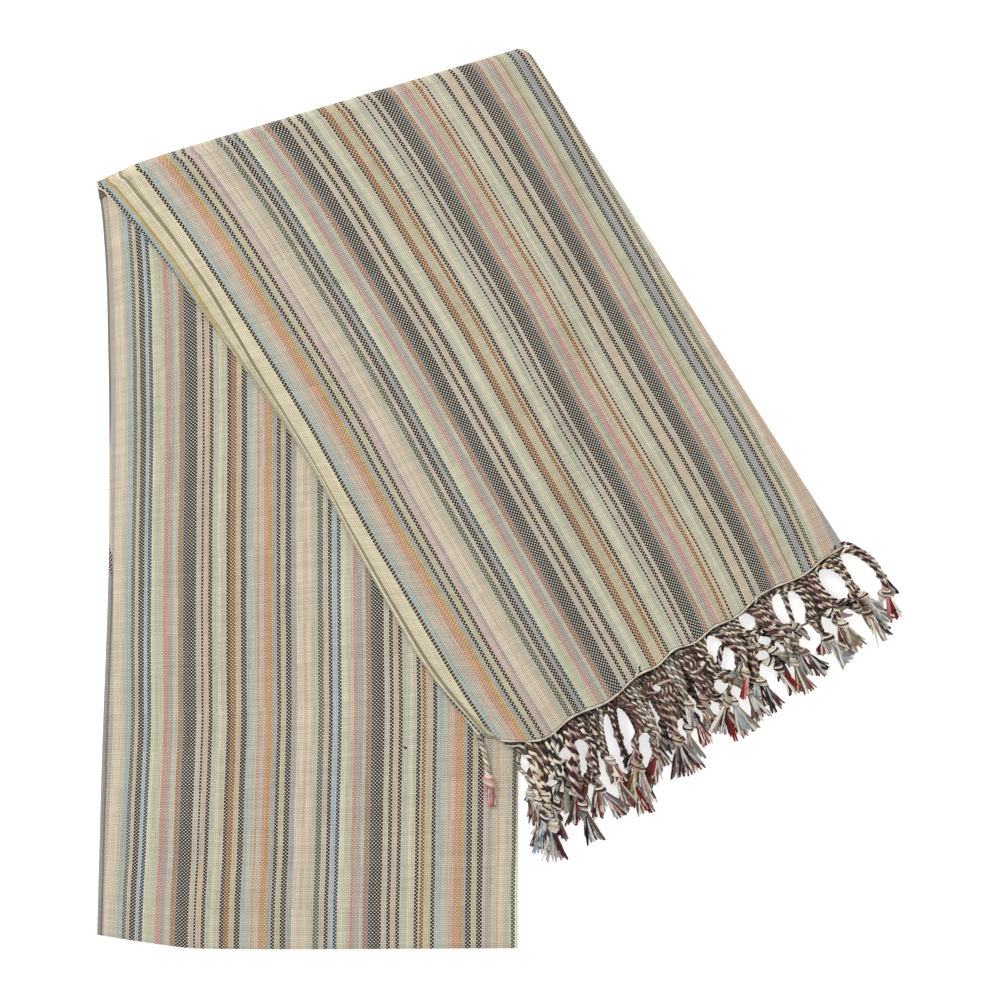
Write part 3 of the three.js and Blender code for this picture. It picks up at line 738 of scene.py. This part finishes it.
def in_plan(way, amount):
    """A shift of points by `amount` millimetres along a plan direction."""
    flat = np.array(way) * amount[..., None]
    return np.concatenate([flat, np.zeros_like(flat[..., :1])], -1)


def tucked(place, along):
    """The lower leg's left side runs in a little below the fold."""
    return in_plan((1.0, 0.0), read_table(TUCK, np.minimum(along, 1.0)) * (1 - smoothstep(place, 4, 40)))


# Thickness of the sheets and the depth of their middles, in millimetres from the towel's outer face
SHEET_THICKNESS = 1.0
UNDER_DEPTH = 4.45
OVER_DEPTH = 0.5
LOWEST_DEPTH = 4.5

# Where the sheets end near the fold, in units of `along`
UNDER_END = 0.988
OVER_START = 0.98
LOWEST_START = 0.986
HEM = 3.0


# Top layer of the lower leg, turned down over its sides and its crosswise fold
def under_depth(place, along, to_left, to_right):
    side = turned(np.minimum(to_left, to_right), SIDE_TURN)
    foot = turned(length_at(along), FOOT_TURN)
    return UNDER_DEPTH - np.minimum(np.hypot(side, foot), SIDE_TURN[1])


def under_lift(points, place, along):
    small = ripple(place, along, 0.4, 0.07)
    return (swell(points) + small) * open_share(points, along)


SIDE_BAND = 4.2  # width of the lower leg's left side that turns down
TO_DARK = 4.4  # how far its stripes are pulled over in the upper half, to `maroon`
TO_TURNED_SHADE = 14.0  # and in the lower half, to `turned`, painted shade where the cloth turns down


def under_chart_edge(place, along):
    """The stripes. Along the left side's upper half the neighbour stripe's dark yarns just show, and along
    its lower half painted shade darkens the cloth that turns down."""
    edge = np.clip(1 - place / SIDE_BAND, 0, 1)
    upper, lower = smoothstep(along, 0.6, 0.72), 1 - smoothstep(along, 0.42, 0.56)
    # grey pulls the lower half's edge over to `turned`, a painted shade
    dark, grey = TO_DARK * edge * upper, TO_TURNED_SHADE * smoothstep(edge, 0.28, 0.42) * lower
    return under_chart(place, along) - dark - grey


under_leg = cloth_piece(
    "under_leg_cloth", 0.0, UNDER_END, constant(0.0), constant(0.0), under_depth, constant(SHEET_THICKNESS),
    under_chart_edge, under_cloth, "under_leg_sheet", under_lift, tucked,
)

# Sheet that comes from below, wraps the slanted fold and is the top of the upper leg
CREASE = {"place": 219.6, "half": 0.9, "deep": 0.6}


def over_depth(place, along, to_left, to_right):
    right = turned(to_right, SIDE_TURN) * smoothstep(along, 1, 2)
    left = turned(to_left, LEFT_TURN) * smoothstep(along, 1.9, 2.1)
    return OVER_DEPTH + right + left


def over_thick(place, along, to_left, to_right):
    return SHEET_THICKNESS + 0.5 * bump(to_left, 0.8, 1.6) * smoothstep(along, 1.9, 2.1)


def over_lift(points, place, along):
    upper = smoothstep(along, 2.02, 2.2)
    chart = over_chart(place, along)
    crease = -CREASE["deep"] * bump(chart, CREASE["place"], CREASE["half"])
    return (swell(points) + ripple(place, along, 1.9, 0.1)) * upper + crease * smoothstep(along, 2.0, 2.05)


HEM_FLARE = 0.8  # how far the hem's very edge turns up


def near_hem(along):
    return smoothstep(along, HEM - 0.035, HEM)


def hem_wave(place):
    """In-plane scallops of the hem between its tassels, and how far it lifts."""
    scallop = 1.2 * np.sin(place / 5.3 + 1.2 * np.sin(place / 21)) + 0.9 * np.sin(place / 11.7 + 1)
    lift = 0.9 + 0.6 * np.sin(place / 7.9 + 0.8 * np.sin(place / 17)) + 0.4 * np.sin(place / 3.4)
    return scallop, lift


def over_out(place, along):
    near = near_hem(along) * smoothstep(place, 6, 20) * smoothstep(STRIP_WIDTH - place, 2, 12)
    scallop, lift = hem_wave(place)
    shift = in_plan(HEM_OUT, near * scallop)
    flare = HEM_FLARE * smoothstep(along, HEM - 0.007, HEM) * smoothstep(STRIP_WIDTH - place, 2, 12)
    shift[..., 2] = near * lift + flare
    return shift


over_leg = cloth_piece(
    "over_leg_cloth", OVER_START, HEM, table(TOP_INSET), constant(0.0), over_depth, over_thick, over_chart,
    over_cloth, "over_leg_sheet", over_lift, over_out,
)


LOWEST_OUT = 3.2
LAYERS_OUT = 2.6


def fold_out(amount):
    """A push that brings an inner layer's fold near the outer one's line, at the left where it shows."""

    def out(place, along):
        turn = np.sin(np.clip(along - 1, 0, 1) * math.pi)
        return in_plan(FOLD_OUT, amount * turn * (1 - smoothstep(place, 17, 20))) + tucked(place, along)

    return out


# Lowest layer of the upper leg, whose selvedge shows along its left side
IN_SHADOW = -3.0  # a place within the stripe `shadow`
LOWEST_SHIFT = [(0, 0), (0.11, 1.9), (0.21, 3.6), (0.3, 7.4), (0.86, 7.4), (0.94, 1.6), (1, -0.6)]


def lowest_chart(place, along):
    under_fold = 1 - smoothstep(along, 1.05, 1.25)
    return (place + read_table(LOWEST_SHIFT, on_upper(along))) * (1 - under_fold) + IN_SHADOW * under_fold


def lowest_lift(points, place, along):
    upper = smoothstep(along, 2, 2.2)
    rim = 0.5 * bump(place, 0.5, 0.7) * upper
    return ripple(place, along, 3.1, 0.06) * smoothstep(place, 14, 2) * upper + rim


lowest = cloth_piece(
    "over_leg_lowest_cloth", LOWEST_START, HEM, constant(0.0), constant(1.0), constant(LOWEST_DEPTH),
    constant(SHEET_THICKNESS), lowest_chart, lowest_cloth, "over_leg_lowest_layer", lowest_lift,
    fold_out(LOWEST_OUT),
)

# Hidden layers of both legs: they rise off the floor under the fold, where the top sheet wraps it. The fourth
# shows along the upper leg's left side: a rim where it folds, then a trough under the top sheet's edge.
LAYERS = (("second", 3.3), ("third", 2.9), ("fourth", 2.4))
LAYER_FILL = 0.97  # share of a layer's room that its cloth takes
LAYERS_START = 0.006
LAYERS_STAGGER = 0.0015
LAYERS_END = HEM - 0.005
EVERY_OTHER = (2, 3)  # coarser stations across and along, as these layers hardly show
EVERY_LAST = (1, 3)
SHEET_ROOM = 1.3


def hidden_range(along):
    thinning = 0.45 * smoothstep(along, 2.85, 2.98)
    rise = SHEET_ROOM * smoothstep(along, 0.925, 0.97)
    return rise + thinning, LEG_THICKNESS - SHEET_ROOM - thinning


def rim_at(along):
    return read_table(RIM_INSET, on_upper(along))


RIM_CHART = 9.7  # the rim's place in HIDDEN_STRIPES


def fourth_chart(place, along):
    """On the upper leg the rim's painted highlight and the trough's painted shade follow the rim."""
    edge = read_table(FOURTH_INSET, on_upper(along))
    rim = rim_at(along)
    before = (place - edge) / np.maximum(rim - edge, 0.5) * RIM_CHART
    return np.where(place < rim, before, RIM_CHART + (place - rim))


def fourth_lift(points, place, along):
    upper = smoothstep(along, 2.0, 2.06) * smoothstep(HEM - along, 0.0, 0.06)
    rim = rim_at(along)
    fading = 1 - smoothstep(along, 2.3, 2.5)
    slope = 1.3 * smoothstep(place, rim - 4.5, rim) * (place < rim)
    ridge = 0.7 * bump(place, rim, 0.6)
    return upper * fading * (slope + ridge) + ripple(place, along, 2.2, 0.05) * upper


def second_out(place, along):
    """The second layer's end sways in and out under the top sheet's hem."""
    sway = 0.9 * np.sin(place / 13 + 0.6) + 0.7 * np.sin(place / 5.7) - 0.5
    return in_plan(HEM_OUT, near_hem(along) * sway)


def hidden_layer(number, name, side):
    """A hidden layer, counted from the towel's outer face and `side` millimetres inside the strip's sides."""
    first, last = number == 0, number == len(LAYERS) - 1

    def left(along):
        edge = read_table(FOURTH_INSET if last else TOP_INSET, on_upper(along)) + (0 if last else COVERED)
        return lerp(side, edge, smoothstep(along, 0.97, 1.3))

    def depth(place, along, to_left, to_right):
        return lerp(*hidden_range(along), (number + 0.5) / len(LAYERS))

    def thick(place, along, to_left, to_right):
        shallow, deep = hidden_range(along)
        return (deep - shallow) / len(LAYERS) * LAYER_FILL

    start = LAYERS_START + LAYERS_STAGGER * number
    end = HEM + HEM_STEP / UPPER_LENGTH if first else LAYERS_END
    return cloth_piece(
        f"hidden_layer_{name}", start, end, left, constant(side), depth, thick,
        fourth_chart if last else under_chart, hidden_cloth, "inner_layers", fourth_lift if last else None,
        second_out if first else fold_out(LAYERS_OUT), EVERY_LAST if last else EVERY_OTHER,
    )


hidden = [hidden_layer(number, name, side) for number, (name, side) in enumerate(LAYERS)]


# Fringe
CORD_RADIUS = 1.5
PLY_RADIUS = 0.88
TWIST = 6.4  # millimetres a turn
KNOT_TURNS = 5
KNOT_RADIUS = 2.45
KNOT_YARN = 0.82
STRAND_RADIUS = 0.75
TUFT_STRANDS = 26
IN_BUNCH = 0.8  # share of the strands that lie among others of their colour
TUFT_RADII = np.array((0.8, 1.0, 1.1, 1.1, 1.05, 1.0, 0.75)) * STRAND_RADIUS

# The map of the heap's height: its corners, its cells and the greatest height in millimetres
HEAP_LOW = np.array((-45.0, -235.0))
HEAP_HIGH = np.array((270.0, 25.0))
CELL = 0.8
HEAP_LIMIT = 14.5
SINK = 0.9  # share of the heap's height that a new cord keeps when it lies down

# Where the floor shows through the fringe: x, y, half length, half width in millimetres, and turn in degrees
GAPS = [
    (146.7, -71.6, 5.3, 3.0, -85), (128.3, -88.2, 8.3, 2.5, -77), (135.4, -94.1, 7.1, 2.5, -70),
    (120.6, -96.5, 1.8, 1.3, -60), (130.7, -110.2, 4.2, 2.4, -40), (93.3, -111.4, 2.4, 1.5, -80),
    (67.7, -140.5, 14.8, 2.5, -74), (74.8, -136.9, 14.8, 2.6, -75), (85.5, -142.9, 4.8, 2.4, -64),
    (40.4, -149.4, 3.6, 3.0, -70), (47.5, -146.4, 5.0, 2.1, -65), (30.9, -167.2, 2.4, 1.5, -80),
    (62.4, -164.8, 2.4, 2.1, -90), (14.3, -156.5, 4.2, 1.3, -80), (12.5, -170.8, 9.5, 1.5, -86),
    (214.4, -43.7, 16.0, 4.2, -50), (197.8, -49.0, 10.7, 3.6, -44), (168.1, -63.9, 9.5, 3.3, -60),
    (175.8, -62.7, 10.1, 2.7, -71), (187.1, -78.7, 8.0, 3.6, -56), (194.8, -74.0, 6.5, 3.0, -47),
    (206.1, -65.6, 3.0, 2.1, -45), (156.8, -82.9, 2.1, 1.8, -80), (155.6, -92.4, 3.6, 1.8, -60),
    (158.0, -101.3, 5.3, 2.7, -63),
]


def part_round_gaps(plan, room):
    """A line in plan, pushed aside so that it leaves each gap open by `room` more than its half width."""
    plan = plan.copy()
    for x, y, long, wide, turn in GAPS:
        angle = math.radians(turn)
        ahead = np.array((math.cos(angle), math.sin(angle)))
        beside = np.array((-ahead[1], ahead[0]))
        a, b = (plan - (x, y)) @ ahead, (plan - (x, y)) @ beside
        inside = np.clip(1 - (a / (long + room)) ** 2, 0, 1)
        side = 1.0 if b[np.abs(a).argmin()] >= 0 else -1.0
        push = (wide + room) * np.sqrt(inside)
        moved = (side * b + np.sqrt(b * b + 4 * push * push * np.exp(-((b / 9) ** 2)))) / 2
        moved = np.where(inside > 0, side * moved, b)
        plan += np.where(np.abs(b) < 20, moved - b, 0)[:, None] * beside
    return plan


class Heap:
    """The height of what lies on the floor, so that each new cord rests on the ones before it."""

    def __init__(self):
        size = np.ceil((HEAP_HIGH - HEAP_LOW) / CELL).astype(int)
        self.top = np.zeros(size)
        self.top[: int((RIGHT_EDGE - HEAP_LOW[0]) / CELL)] = LEG_THICKNESS + 0.4

    def window(self, x, y, reach):
        i, j = ((np.array((x, y)) - HEAP_LOW) / CELL).round().astype(int)
        r = int(math.ceil(reach / CELL))
        return slice(max(i - r, 0), i + r + 1), slice(max(j - r, 0), j + r + 1)

    def rest(self, plan, radius):
        """Heights of the middle of a cord that lies on the heap."""
        need = np.array([self.top[self.window(x, y, radius * 0.5)].max() for x, y in plan])
        need = np.maximum(np.maximum(need, np.roll(need, 1)), np.roll(need, -1))
        need = np.convolve(np.pad(need, 3, "edge"), np.ones(7) / 7, "valid")
        return np.minimum(need * SINK + radius, HEAP_LIMIT)

    def press(self, path, radius):
        for x, y, z in path:
            where = self.window(x, y, radius)
            i = np.arange(self.top.shape[0])[where[0]] * CELL + HEAP_LOW[0] - x
            j = np.arange(self.top.shape[1])[where[1]] * CELL + HEAP_LOW[1] - y
            room = radius * radius - i[:, None] ** 2 - j[None] ** 2
            lid = np.where(room > 0, z + np.sqrt(np.maximum(room, 0)) * 0.7, 0)
            self.top[where] = np.maximum(self.top[where], lid)


def unit(rows):
    """Rows of vectors, each made one long."""
    return rows / (np.linalg.norm(rows, axis=1)[:, None] + 1e-9)


def steps_along(path):
    """How far along a path each of its points is."""
    return np.concatenate([[0], np.cumsum(np.linalg.norm(np.diff(path, axis=0), axis=1))])


class Tubes:
    """Collects tapered tubes as one mesh."""

    def __init__(self):
        self.points, self.faces, self.uv = [], [], []

    def add(self, path, radii, sides, colour, away=None, openness=1.0):
        """One tube. away points from a cord's middle to this ply's, to paint shade in the groove
        between its plies, and openness is 1 for yarn in the open and lower where shade is painted on it."""
        path, radii = np.asarray(path, float), np.asarray(radii, float)
        ahead = unit(np.gradient(path, axis=0))
        reference = (0.0, 0.0, 1.0) if abs(ahead[:, 2]).max() < 0.95 else (0.6, 0.8, 0.02)
        side = unit(np.cross(reference, ahead))
        up = np.cross(ahead, side)
        angle = 2 * math.pi * np.arange(sides) / sides
        ring = np.cos(angle)[None, :, None] * side[:, None] + np.sin(angle)[None, :, None] * up[:, None]
        open_side = np.ones((len(path), sides))
        if away is not None:
            open_side = 0.5 + 0.5 * np.einsum("psk,pk->ps", ring, away)
        open_side = open_side * np.reshape(openness, (-1, 1))
        ring = path[:, None] + ring * radii[:, None, None]
        first = len(self.points)
        self.points.extend(ring.reshape(-1, 3).tolist())
        u = (YARN_NAMES.index(colour) + 0.5) / len(YARN_NAMES)
        self.uv.extend([(u, v) for v in open_side.ravel()])
        for k in range(len(path) - 1):
            for m in range(sides):
                a, b = first + k * sides + m, first + k * sides + (m + 1) % sides
                self.faces.append((a, b, b + sides, a + sides))
        last = first + (len(path) - 1) * sides
        self.faces.append(tuple(first + m for m in reversed(range(sides))))
        self.faces.append(tuple(last + m for m in range(sides)))

    def cord(self, path, colours, phase, size=1.0):
        """Two plies twisted round each other along a path."""
        steps = steps_along(path)
        at = np.arange(0, steps[-1], 0.7 * size)
        fine = np.stack([np.interp(at, steps, path[:, k]) for k in range(3)], -1)
        ahead = unit(np.gradient(fine, axis=0))
        side = unit(np.cross((0.0, 0.0, 1.0), ahead))
        up = np.cross(ahead, side)
        for ply, colour in enumerate(colours):
            angle = phase - 2 * math.pi * at / (TWIST * size) + math.pi * ply
            offset = np.cos(angle)[:, None] * side + np.sin(angle)[:, None] * up
            line = fine + offset * (CORD_RADIUS - PLY_RADIUS) * size
            line[:, 2] = np.maximum(line[:, 2], PLY_RADIUS * size)
            sides = 6 if size > 1.2 else 5
            # painted shade on the cords near the hem, where they leave from under it
            painted_hem_shade = 0.55 + 0.45 * smoothstep(at, 0.5, 9)
            self.add(line, np.full(len(at), PLY_RADIUS * size), sides, colour, offset, painted_hem_shade)

    def knot(self, middle, way, colours, phase, size=1.0):
        """A knot: turns of thin yarn wound side by side, fat in the middle."""
        side = np.array((-way[1], way[0], 0.0))
        up = np.array((0.0, 0.0, 1.0))
        for k in range(KNOT_TURNS):
            from_middle = k - KNOT_TURNS // 2
            angle = phase + np.linspace(0, 2 * math.pi, 14)
            lean = 0.8 * np.sin(angle + 0.7 + 0.25 * k)[:, None] * way * 0.7
            ring = np.cos(angle)[:, None] * side + np.sin(angle)[:, None] * up * 0.85 + lean
            fat = size * (KNOT_RADIUS - 0.28 * from_middle**2)
            line = middle + way * from_middle * 1.15 * size + ring * fat
            line[:, 2] = np.maximum(line[:, 2], 0.8)
            self.add(line, np.full(len(angle), KNOT_YARN * size), 5, colours[k % len(colours)])

    def tuft(self, draw, heap, start, way, reach, colours, fan):
        """A brush of loose yarn, in bunches of one colour."""
        side = np.array((-way[1], way[0], 0.0))
        t = np.linspace(0, 1, len(TUFT_RADII))
        for k in range(TUFT_STRANDS):
            spread = (k + 0.5) / TUFT_STRANDS * 2 - 1
            spread = fan * (spread + draw.gauss(0, 0.3))
            long = reach * draw.uniform(0.72, 1.12)
            wave = draw.uniform(-0.7, 0.7) * np.sin(t * draw.uniform(2.5, 5.0))
            flare = spread * long * t**1.2 + wave + draw.uniform(-1.0, 1.0) * (1 - t)
            line = start + way * (t * long)[:, None] + side * flare[:, None]
            line[:, :2] = part_round_gaps(line[:, :2], 0.2)
            down = np.maximum(heap.rest(line[:, :2], STRAND_RADIUS), STRAND_RADIUS + 0.1)
            line[:, 2] = lerp(start[2], down + draw.uniform(0, 1.6), smoothstep(t, 0, 0.7))
            line[:, 2] = np.maximum(line[:, 2], STRAND_RADIUS + 0.05)
            bunch = colours[k * len(colours) // TUFT_STRANDS]
            colour = bunch if draw.random() < IN_BUNCH else draw.choice(colours)
            # each strand gets a random painted shade, darker as if deep in the tuft
            self.add(line, TUFT_RADII, 5, colour, None, draw.uniform(0.38, 1.0))

    def make(self, name, replaces):
        return new_object(name, self.points, self.faces, self.uv, yarn, replaces)


CORD_COLOURS = [
    ("cream", "umber"), ("oat", "umber"), ("cream", "taupe"), ("oat", "black"), ("cream", "maroon"),
    ("rose", "umber"), ("taupe", "umber"), ("cream", "black"), ("rose", "umber"), ("cream", "grey"),
    ("oat", "taupe"), ("rose", "black"), ("umber", "black"), ("cream", "umber"), ("taupe", "black"),
    ("cream", "bronze"), ("grey", "black"), ("cream", "black"), ("oat", "maroon"), ("pale", "umber"),
]
TUFT_COLOURS = [
    ("maroon", "pale", "red", "taupe", "pale"), ("pale", "rose", "lilac", "cream", "black"),
    ("pale", "sky", "teal", "pale", "maroon"), ("pale", "orange", "cream", "red", "taupe"),
    ("black", "lilac", "pale", "maroon", "taupe"), ("red", "pale", "pink", "cream", "umber"),
    ("pale", "grey", "orange", "cream", "mint"), ("taupe", "pale", "rose", "black", "lilac"),
    ("umber", "oat", "pale", "red", "grey"), ("pale", "lilac", "grey", "sky", "cream"),
]
KNOT_AT = 0.68  # share of a tassel's length
ANY_TURN = 6.28

# Tassels that lie clear of the others: line in plan, colours of cord and tuft, tuft's length, size
CLEAR_TASSELS = [
    (((196.0, -31.0), (200.8, -26.5), (206.8, -25.6), (212.8, -30.0), (218.6, -38.0), (224.0, -46.5),
      (228.9, -53.2)),
     ("rose", "black"), ("pink", "red", "maroon", "pale"), 14, 0.85),
    (((14.5, -149.0), (20.2, -160.0), (25.5, -172.0), (29.1, -182.5), (30.3, -190.5)),
     ("cream", "oat"), ("pale", "cream", "lilac", "maroon"), 19, 1.5),
    (((10.5, -146.0), (12.6, -154.5), (13.0, -160.0), (16.2, -167.0), (18.0, -173.0)),
     ("cream", "grey"), ("rose", "maroon", "pale"), 16, 1.0),
]


def tassel(tubes, heap, draw, path, tuft_length, colours=None, tuft=None, size=1.0, fan=0.29, roots=(0,)):
    """Twisted cords that leave the hem at `roots` millimetres beside the path's start and meet in one knot,
    and a frayed tuft beyond it."""
    tuft = tuft or draw.choice(TUFT_COLOURS)
    along_hem = HEM_CHORD / np.hypot(*HEM_CHORD)
    t = np.linspace(0, 1, len(path))
    for offset in roots:
        pair = colours or draw.choice(CORD_COLOURS)
        line = path.copy()
        apart = offset * (1 - smoothstep(t, 0.3, 1.0))
        line[:, :2] = part_round_gaps(line[:, :2] + along_hem * apart[:, None], CORD_RADIUS * size - 0.3)
        free = heap.rest(line[:, :2], CORD_RADIUS * size)
        line[:, 2] = lerp(line[0, 2], free, smoothstep(steps_along(line[:, :2]), 0.5, 10))
        heap.press(line, CORD_RADIUS * size)
        tubes.cord(line, pair, draw.uniform(0, ANY_TURN), size)
    way = line[-1] - line[-4]
    way[2] *= 0.3
    way /= np.linalg.norm(way)
    knot = np.array((*path[-1, :2], line[-1, 2] + 0.5)) + way * 1.5
    wound = tuft[0] if draw.random() < 0.35 else draw.choice(("cream", "oat", "pale"))
    knot_size = 0.95 if len(roots) > 1 else size
    tubes.knot(knot, way, (pair[0], wound, pair[1]), draw.uniform(0, ANY_TURN), knot_size)
    tubes.tuft(draw, heap, knot + way * 2.2, way, tuft_length, tuft, fan)


FRINGE_START = 20.0
FRINGE_END = 240.0
FRINGE_FAN = [(0, -88), (0.12, -83), (0.3, -72), (0.5, -63), (0.75, -56), (1, -44)]  # (place, degrees)
TASSELS_PER_ROW = 24
THICK_UNTIL = 0.17  # share of the row where the tassels are thick
THICK = 1.25
SHORT = 0.72
SHORT_SHARE = 0.25
TWO_CORDS = (-2.2, 2.2)
THREE_CORDS = (-3.1, 0, 3.1)
ROWS = [
    dict(name="fringe_row_4", root=0.65, phase=0.95, left=52, right=43, turn=3.3),
    dict(name="fringe_row_3", root=1.9, phase=0.45, left=56, right=47, turn=3.3),
    dict(name="fringe_row_2", root=3.15, phase=0.7, left=65, right=54, turn=0.4),
    dict(name="fringe_row_1", root=4.4, phase=0.2, left=69, right=57, turn=0.4),
]


def hem_point(share, out, height):
    """A point `out` millimetres beyond the hem."""
    share = np.float64(share)
    ahead = hem_plan(share + 0.01) - hem_plan(share - 0.01)
    ahead /= np.hypot(*ahead)
    plan = hem_plan(share) + np.array((ahead[1], -ahead[0])) * out
    lift = upper_leg_lift(hem_plan(share), np.float64(1))
    return np.array((plan[0], plan[1], float(lift) + height))


def tassel_path(draw, root, aim, length):
    """The line of one cord: it starts skewed along the hem, then hangs with a soft bend."""
    angle = math.radians(aim)
    way = np.array((math.cos(angle), math.sin(angle)))
    side = np.array((-way[1], way[0]))
    t = np.linspace(0, 1, 36)
    far = t * length
    bend = draw.uniform(-2.5, 2.5) * np.sin(math.pi * t * 0.9)
    bend += draw.uniform(-1.2, 1.2) * np.sin(2.3 * math.pi * t)
    skew = draw.gauss(0, 1.0) * (1 - np.exp(-far / 5))
    plan = root[:2] + way * far[:, None] + side * (bend + skew)[:, None]
    plan = part_round_gaps(part_round_gaps(plan, CORD_RADIUS - 0.4), CORD_RADIUS - 0.4)
    return np.column_stack([plan, np.full(len(t), root[2])])


def smooth_line(plan, count):
    """`count` points of a smooth line through a few hand-set ones."""
    t = np.linspace(0, len(plan) - 1, count)
    return np.stack([read_table(list(enumerate(row)), t) for row in zip(*plan)], -1)


heap = Heap()
for number, row in enumerate(ROWS):
    draw = random.Random(40 + number)
    tubes = Tubes()
    for i in range(TASSELS_PER_ROW):
        place = (i + row["phase"]) / TASSELS_PER_ROW
        root = hem_point(lerp(FRINGE_START, FRINGE_END, place) / STRIP_WIDTH, -0.6, row["root"] - 0.3)
        sway = 3 * math.sin(4 * math.pi * place + row["turn"])
        aim = read_table(FRINGE_FAN, place) + sway + draw.gauss(0, 5)
        short = SHORT if draw.random() < SHORT_SHARE else 1.0
        length = lerp(row["left"], row["right"], place) * draw.uniform(0.92, 1.08) * short
        path = tassel_path(draw, root, aim, length * KNOT_AT)
        thick = place < THICK_UNTIL
        roots = TWO_CORDS if thick or row["root"] < 3 else THREE_CORDS
        size = THICK if thick else draw.uniform(0.8, 1.0)
        tassel(tubes, heap, draw, path, length * (1 - KNOT_AT) - 2, size=size, roots=roots)
    if number == len(ROWS) - 1:
        for plan, colours, tuft, long, size in CLEAR_TASSELS:
            line = smooth_line(plan, 34)
            path = np.column_stack([line, np.full(len(line), row["root"])])
            tassel(tubes, heap, draw, path, long, colours, tuft, size)
    tubes.make(row["name"] + "_tassels", row["name"])

# Two small dark snags on the lower leg, and loose ends at the hem, as lines of points in millimetres
SNAGS = [
    ("black", 0.5, ((-57.2, -146.2), (-56.2, -147.2), (-55.4, -146.6))),
    ("black", 0.4, ((-60.2, -164.2), (-59.4, -165.2), (-58.6, -165.0))),
    ("cream", 0.45, ((80.3, -104.2), (82.2, -101.4), (81.6, -98.8), (83.4, -97.6))),
    ("black", 0.45, ((84.2, -101.8), (82.6, -100.4), (83.0, -98.6))),
    ("cream", 0.4, ((151.6, -61.2), (152.6, -58.6), (151.2, -57.0))),
    ("oat", 0.4, ((114.6, -84.0), (113.2, -82.0), (114.8, -80.2))),
]
SNAG_POINTS = 9
LOWER_TOP = 5.0
UPPER_TOP = 6.0
tubes = Tubes()
for colour, radius, plan in SNAGS:
    line = np.column_stack([smooth_line(plan, SNAG_POINTS), np.zeros(SNAG_POINTS)])
    on_top = UPPER_TOP if plan[0][0] > 0 else LOWER_TOP
    line[:, 2] = on_top + swell(line) + 0.5 * np.sin(np.linspace(0, math.pi, SNAG_POINTS))
    tubes.add(line, np.full(SNAG_POINTS, radius), 5, colour)
tubes.make("loose_threads", None)

# The single tassel at the lowest layer's left corner
LONE_START = (-12.5, -139.6, 6.8)
LONE_TUFT = 12.5
tubes = Tubes()
t = np.linspace(0, 1, 20)
lone_line = LONE_START + np.column_stack([5.6 * t + 0.8 * np.sin(3 * t), -25.5 * t, np.zeros(len(t))])
tassel(
    tubes, heap, random.Random(7), lone_line, LONE_TUFT, ("cream", "oat"), ("pink", "pink", "pale"), 1.2, 0.12
)
tubes.make("lone_tassel_cord", "lone_tassel")

# The length of cloth in the two legs and the fold, in metres
BOTH_LEGS = (LOWER_LENGTH + UPPER_LENGTH + FOLD_LENGTH) * MM

# Floor, light and camera. The floor glows a little, so that it is as white as the photograph's.
FLOOR_SIZE = 6
FLOOR_HEIGHT = -0.0001
bpy.ops.mesh.primitive_plane_add(size=FLOOR_SIZE, location=(0, 0, FLOOR_HEIGHT))
floor = bpy.context.object
floor.name = "floor"
paper = Graph("pale_floor")
paper.shader.inputs["Base Color"].default_value = (0.8, 0.8, 0.8, 1)
paper.shader.inputs["Emission Color"].default_value = (1, 1, 1, 1)
paper.shader.inputs["Emission Strength"].default_value = 0.6
paper.shader.inputs["Roughness"].default_value = 0.9
floor.data.materials.append(paper.material)

world = bpy.data.worlds.new("soft_studio")
world.use_nodes = True
world.node_tree.nodes["Background"].inputs[0].default_value = (1, 1, 1, 1)
world.node_tree.nodes["Background"].inputs[1].default_value = 0.72
bpy.context.scene.world = world


def area_light(name, place, size, watts):
    light = bpy.data.lights.new(name, "AREA")
    light.size = size
    light.energy = watts
    lamp = bpy.data.objects.new(name, light)
    lamp.location = place
    aim = -np.array(place) / np.linalg.norm(place)
    lamp.rotation_euler = (math.acos(-aim[2]), 0, math.atan2(aim[1], aim[0]) - math.pi / 2)
    bpy.context.scene.collection.objects.link(lamp)


area_light("key", (-1.6, 1.5, 1.9), 0.9, 36)
area_light("fill", (1.8, -0.6, 2.2), 1.6, 8)

# The camera looks straight down. The photograph's width in metres is measured on the towel's surface.
CAMERA_HEIGHT = 2.4
PICTURE_WIDTH = 0.594
SURFACE = 0.006
SENSOR = 36
HALF_PIXEL = 0.3  # in millimetres
lens = bpy.data.cameras.new("camera")
lens.sensor_width = SENSOR
lens.lens = SENSOR * (CAMERA_HEIGHT - SURFACE) / PICTURE_WIDTH
camera = bpy.data.objects.new("camera", lens)
camera.location = (MIDDLE[0] * MM, (MIDDLE[1] + HALF_PIXEL) * MM, CAMERA_HEIGHT)
bpy.context.scene.collection.objects.link(camera)
bpy.context.scene.camera = camera
bpy.context.scene.view_settings.view_transform = "Standard"
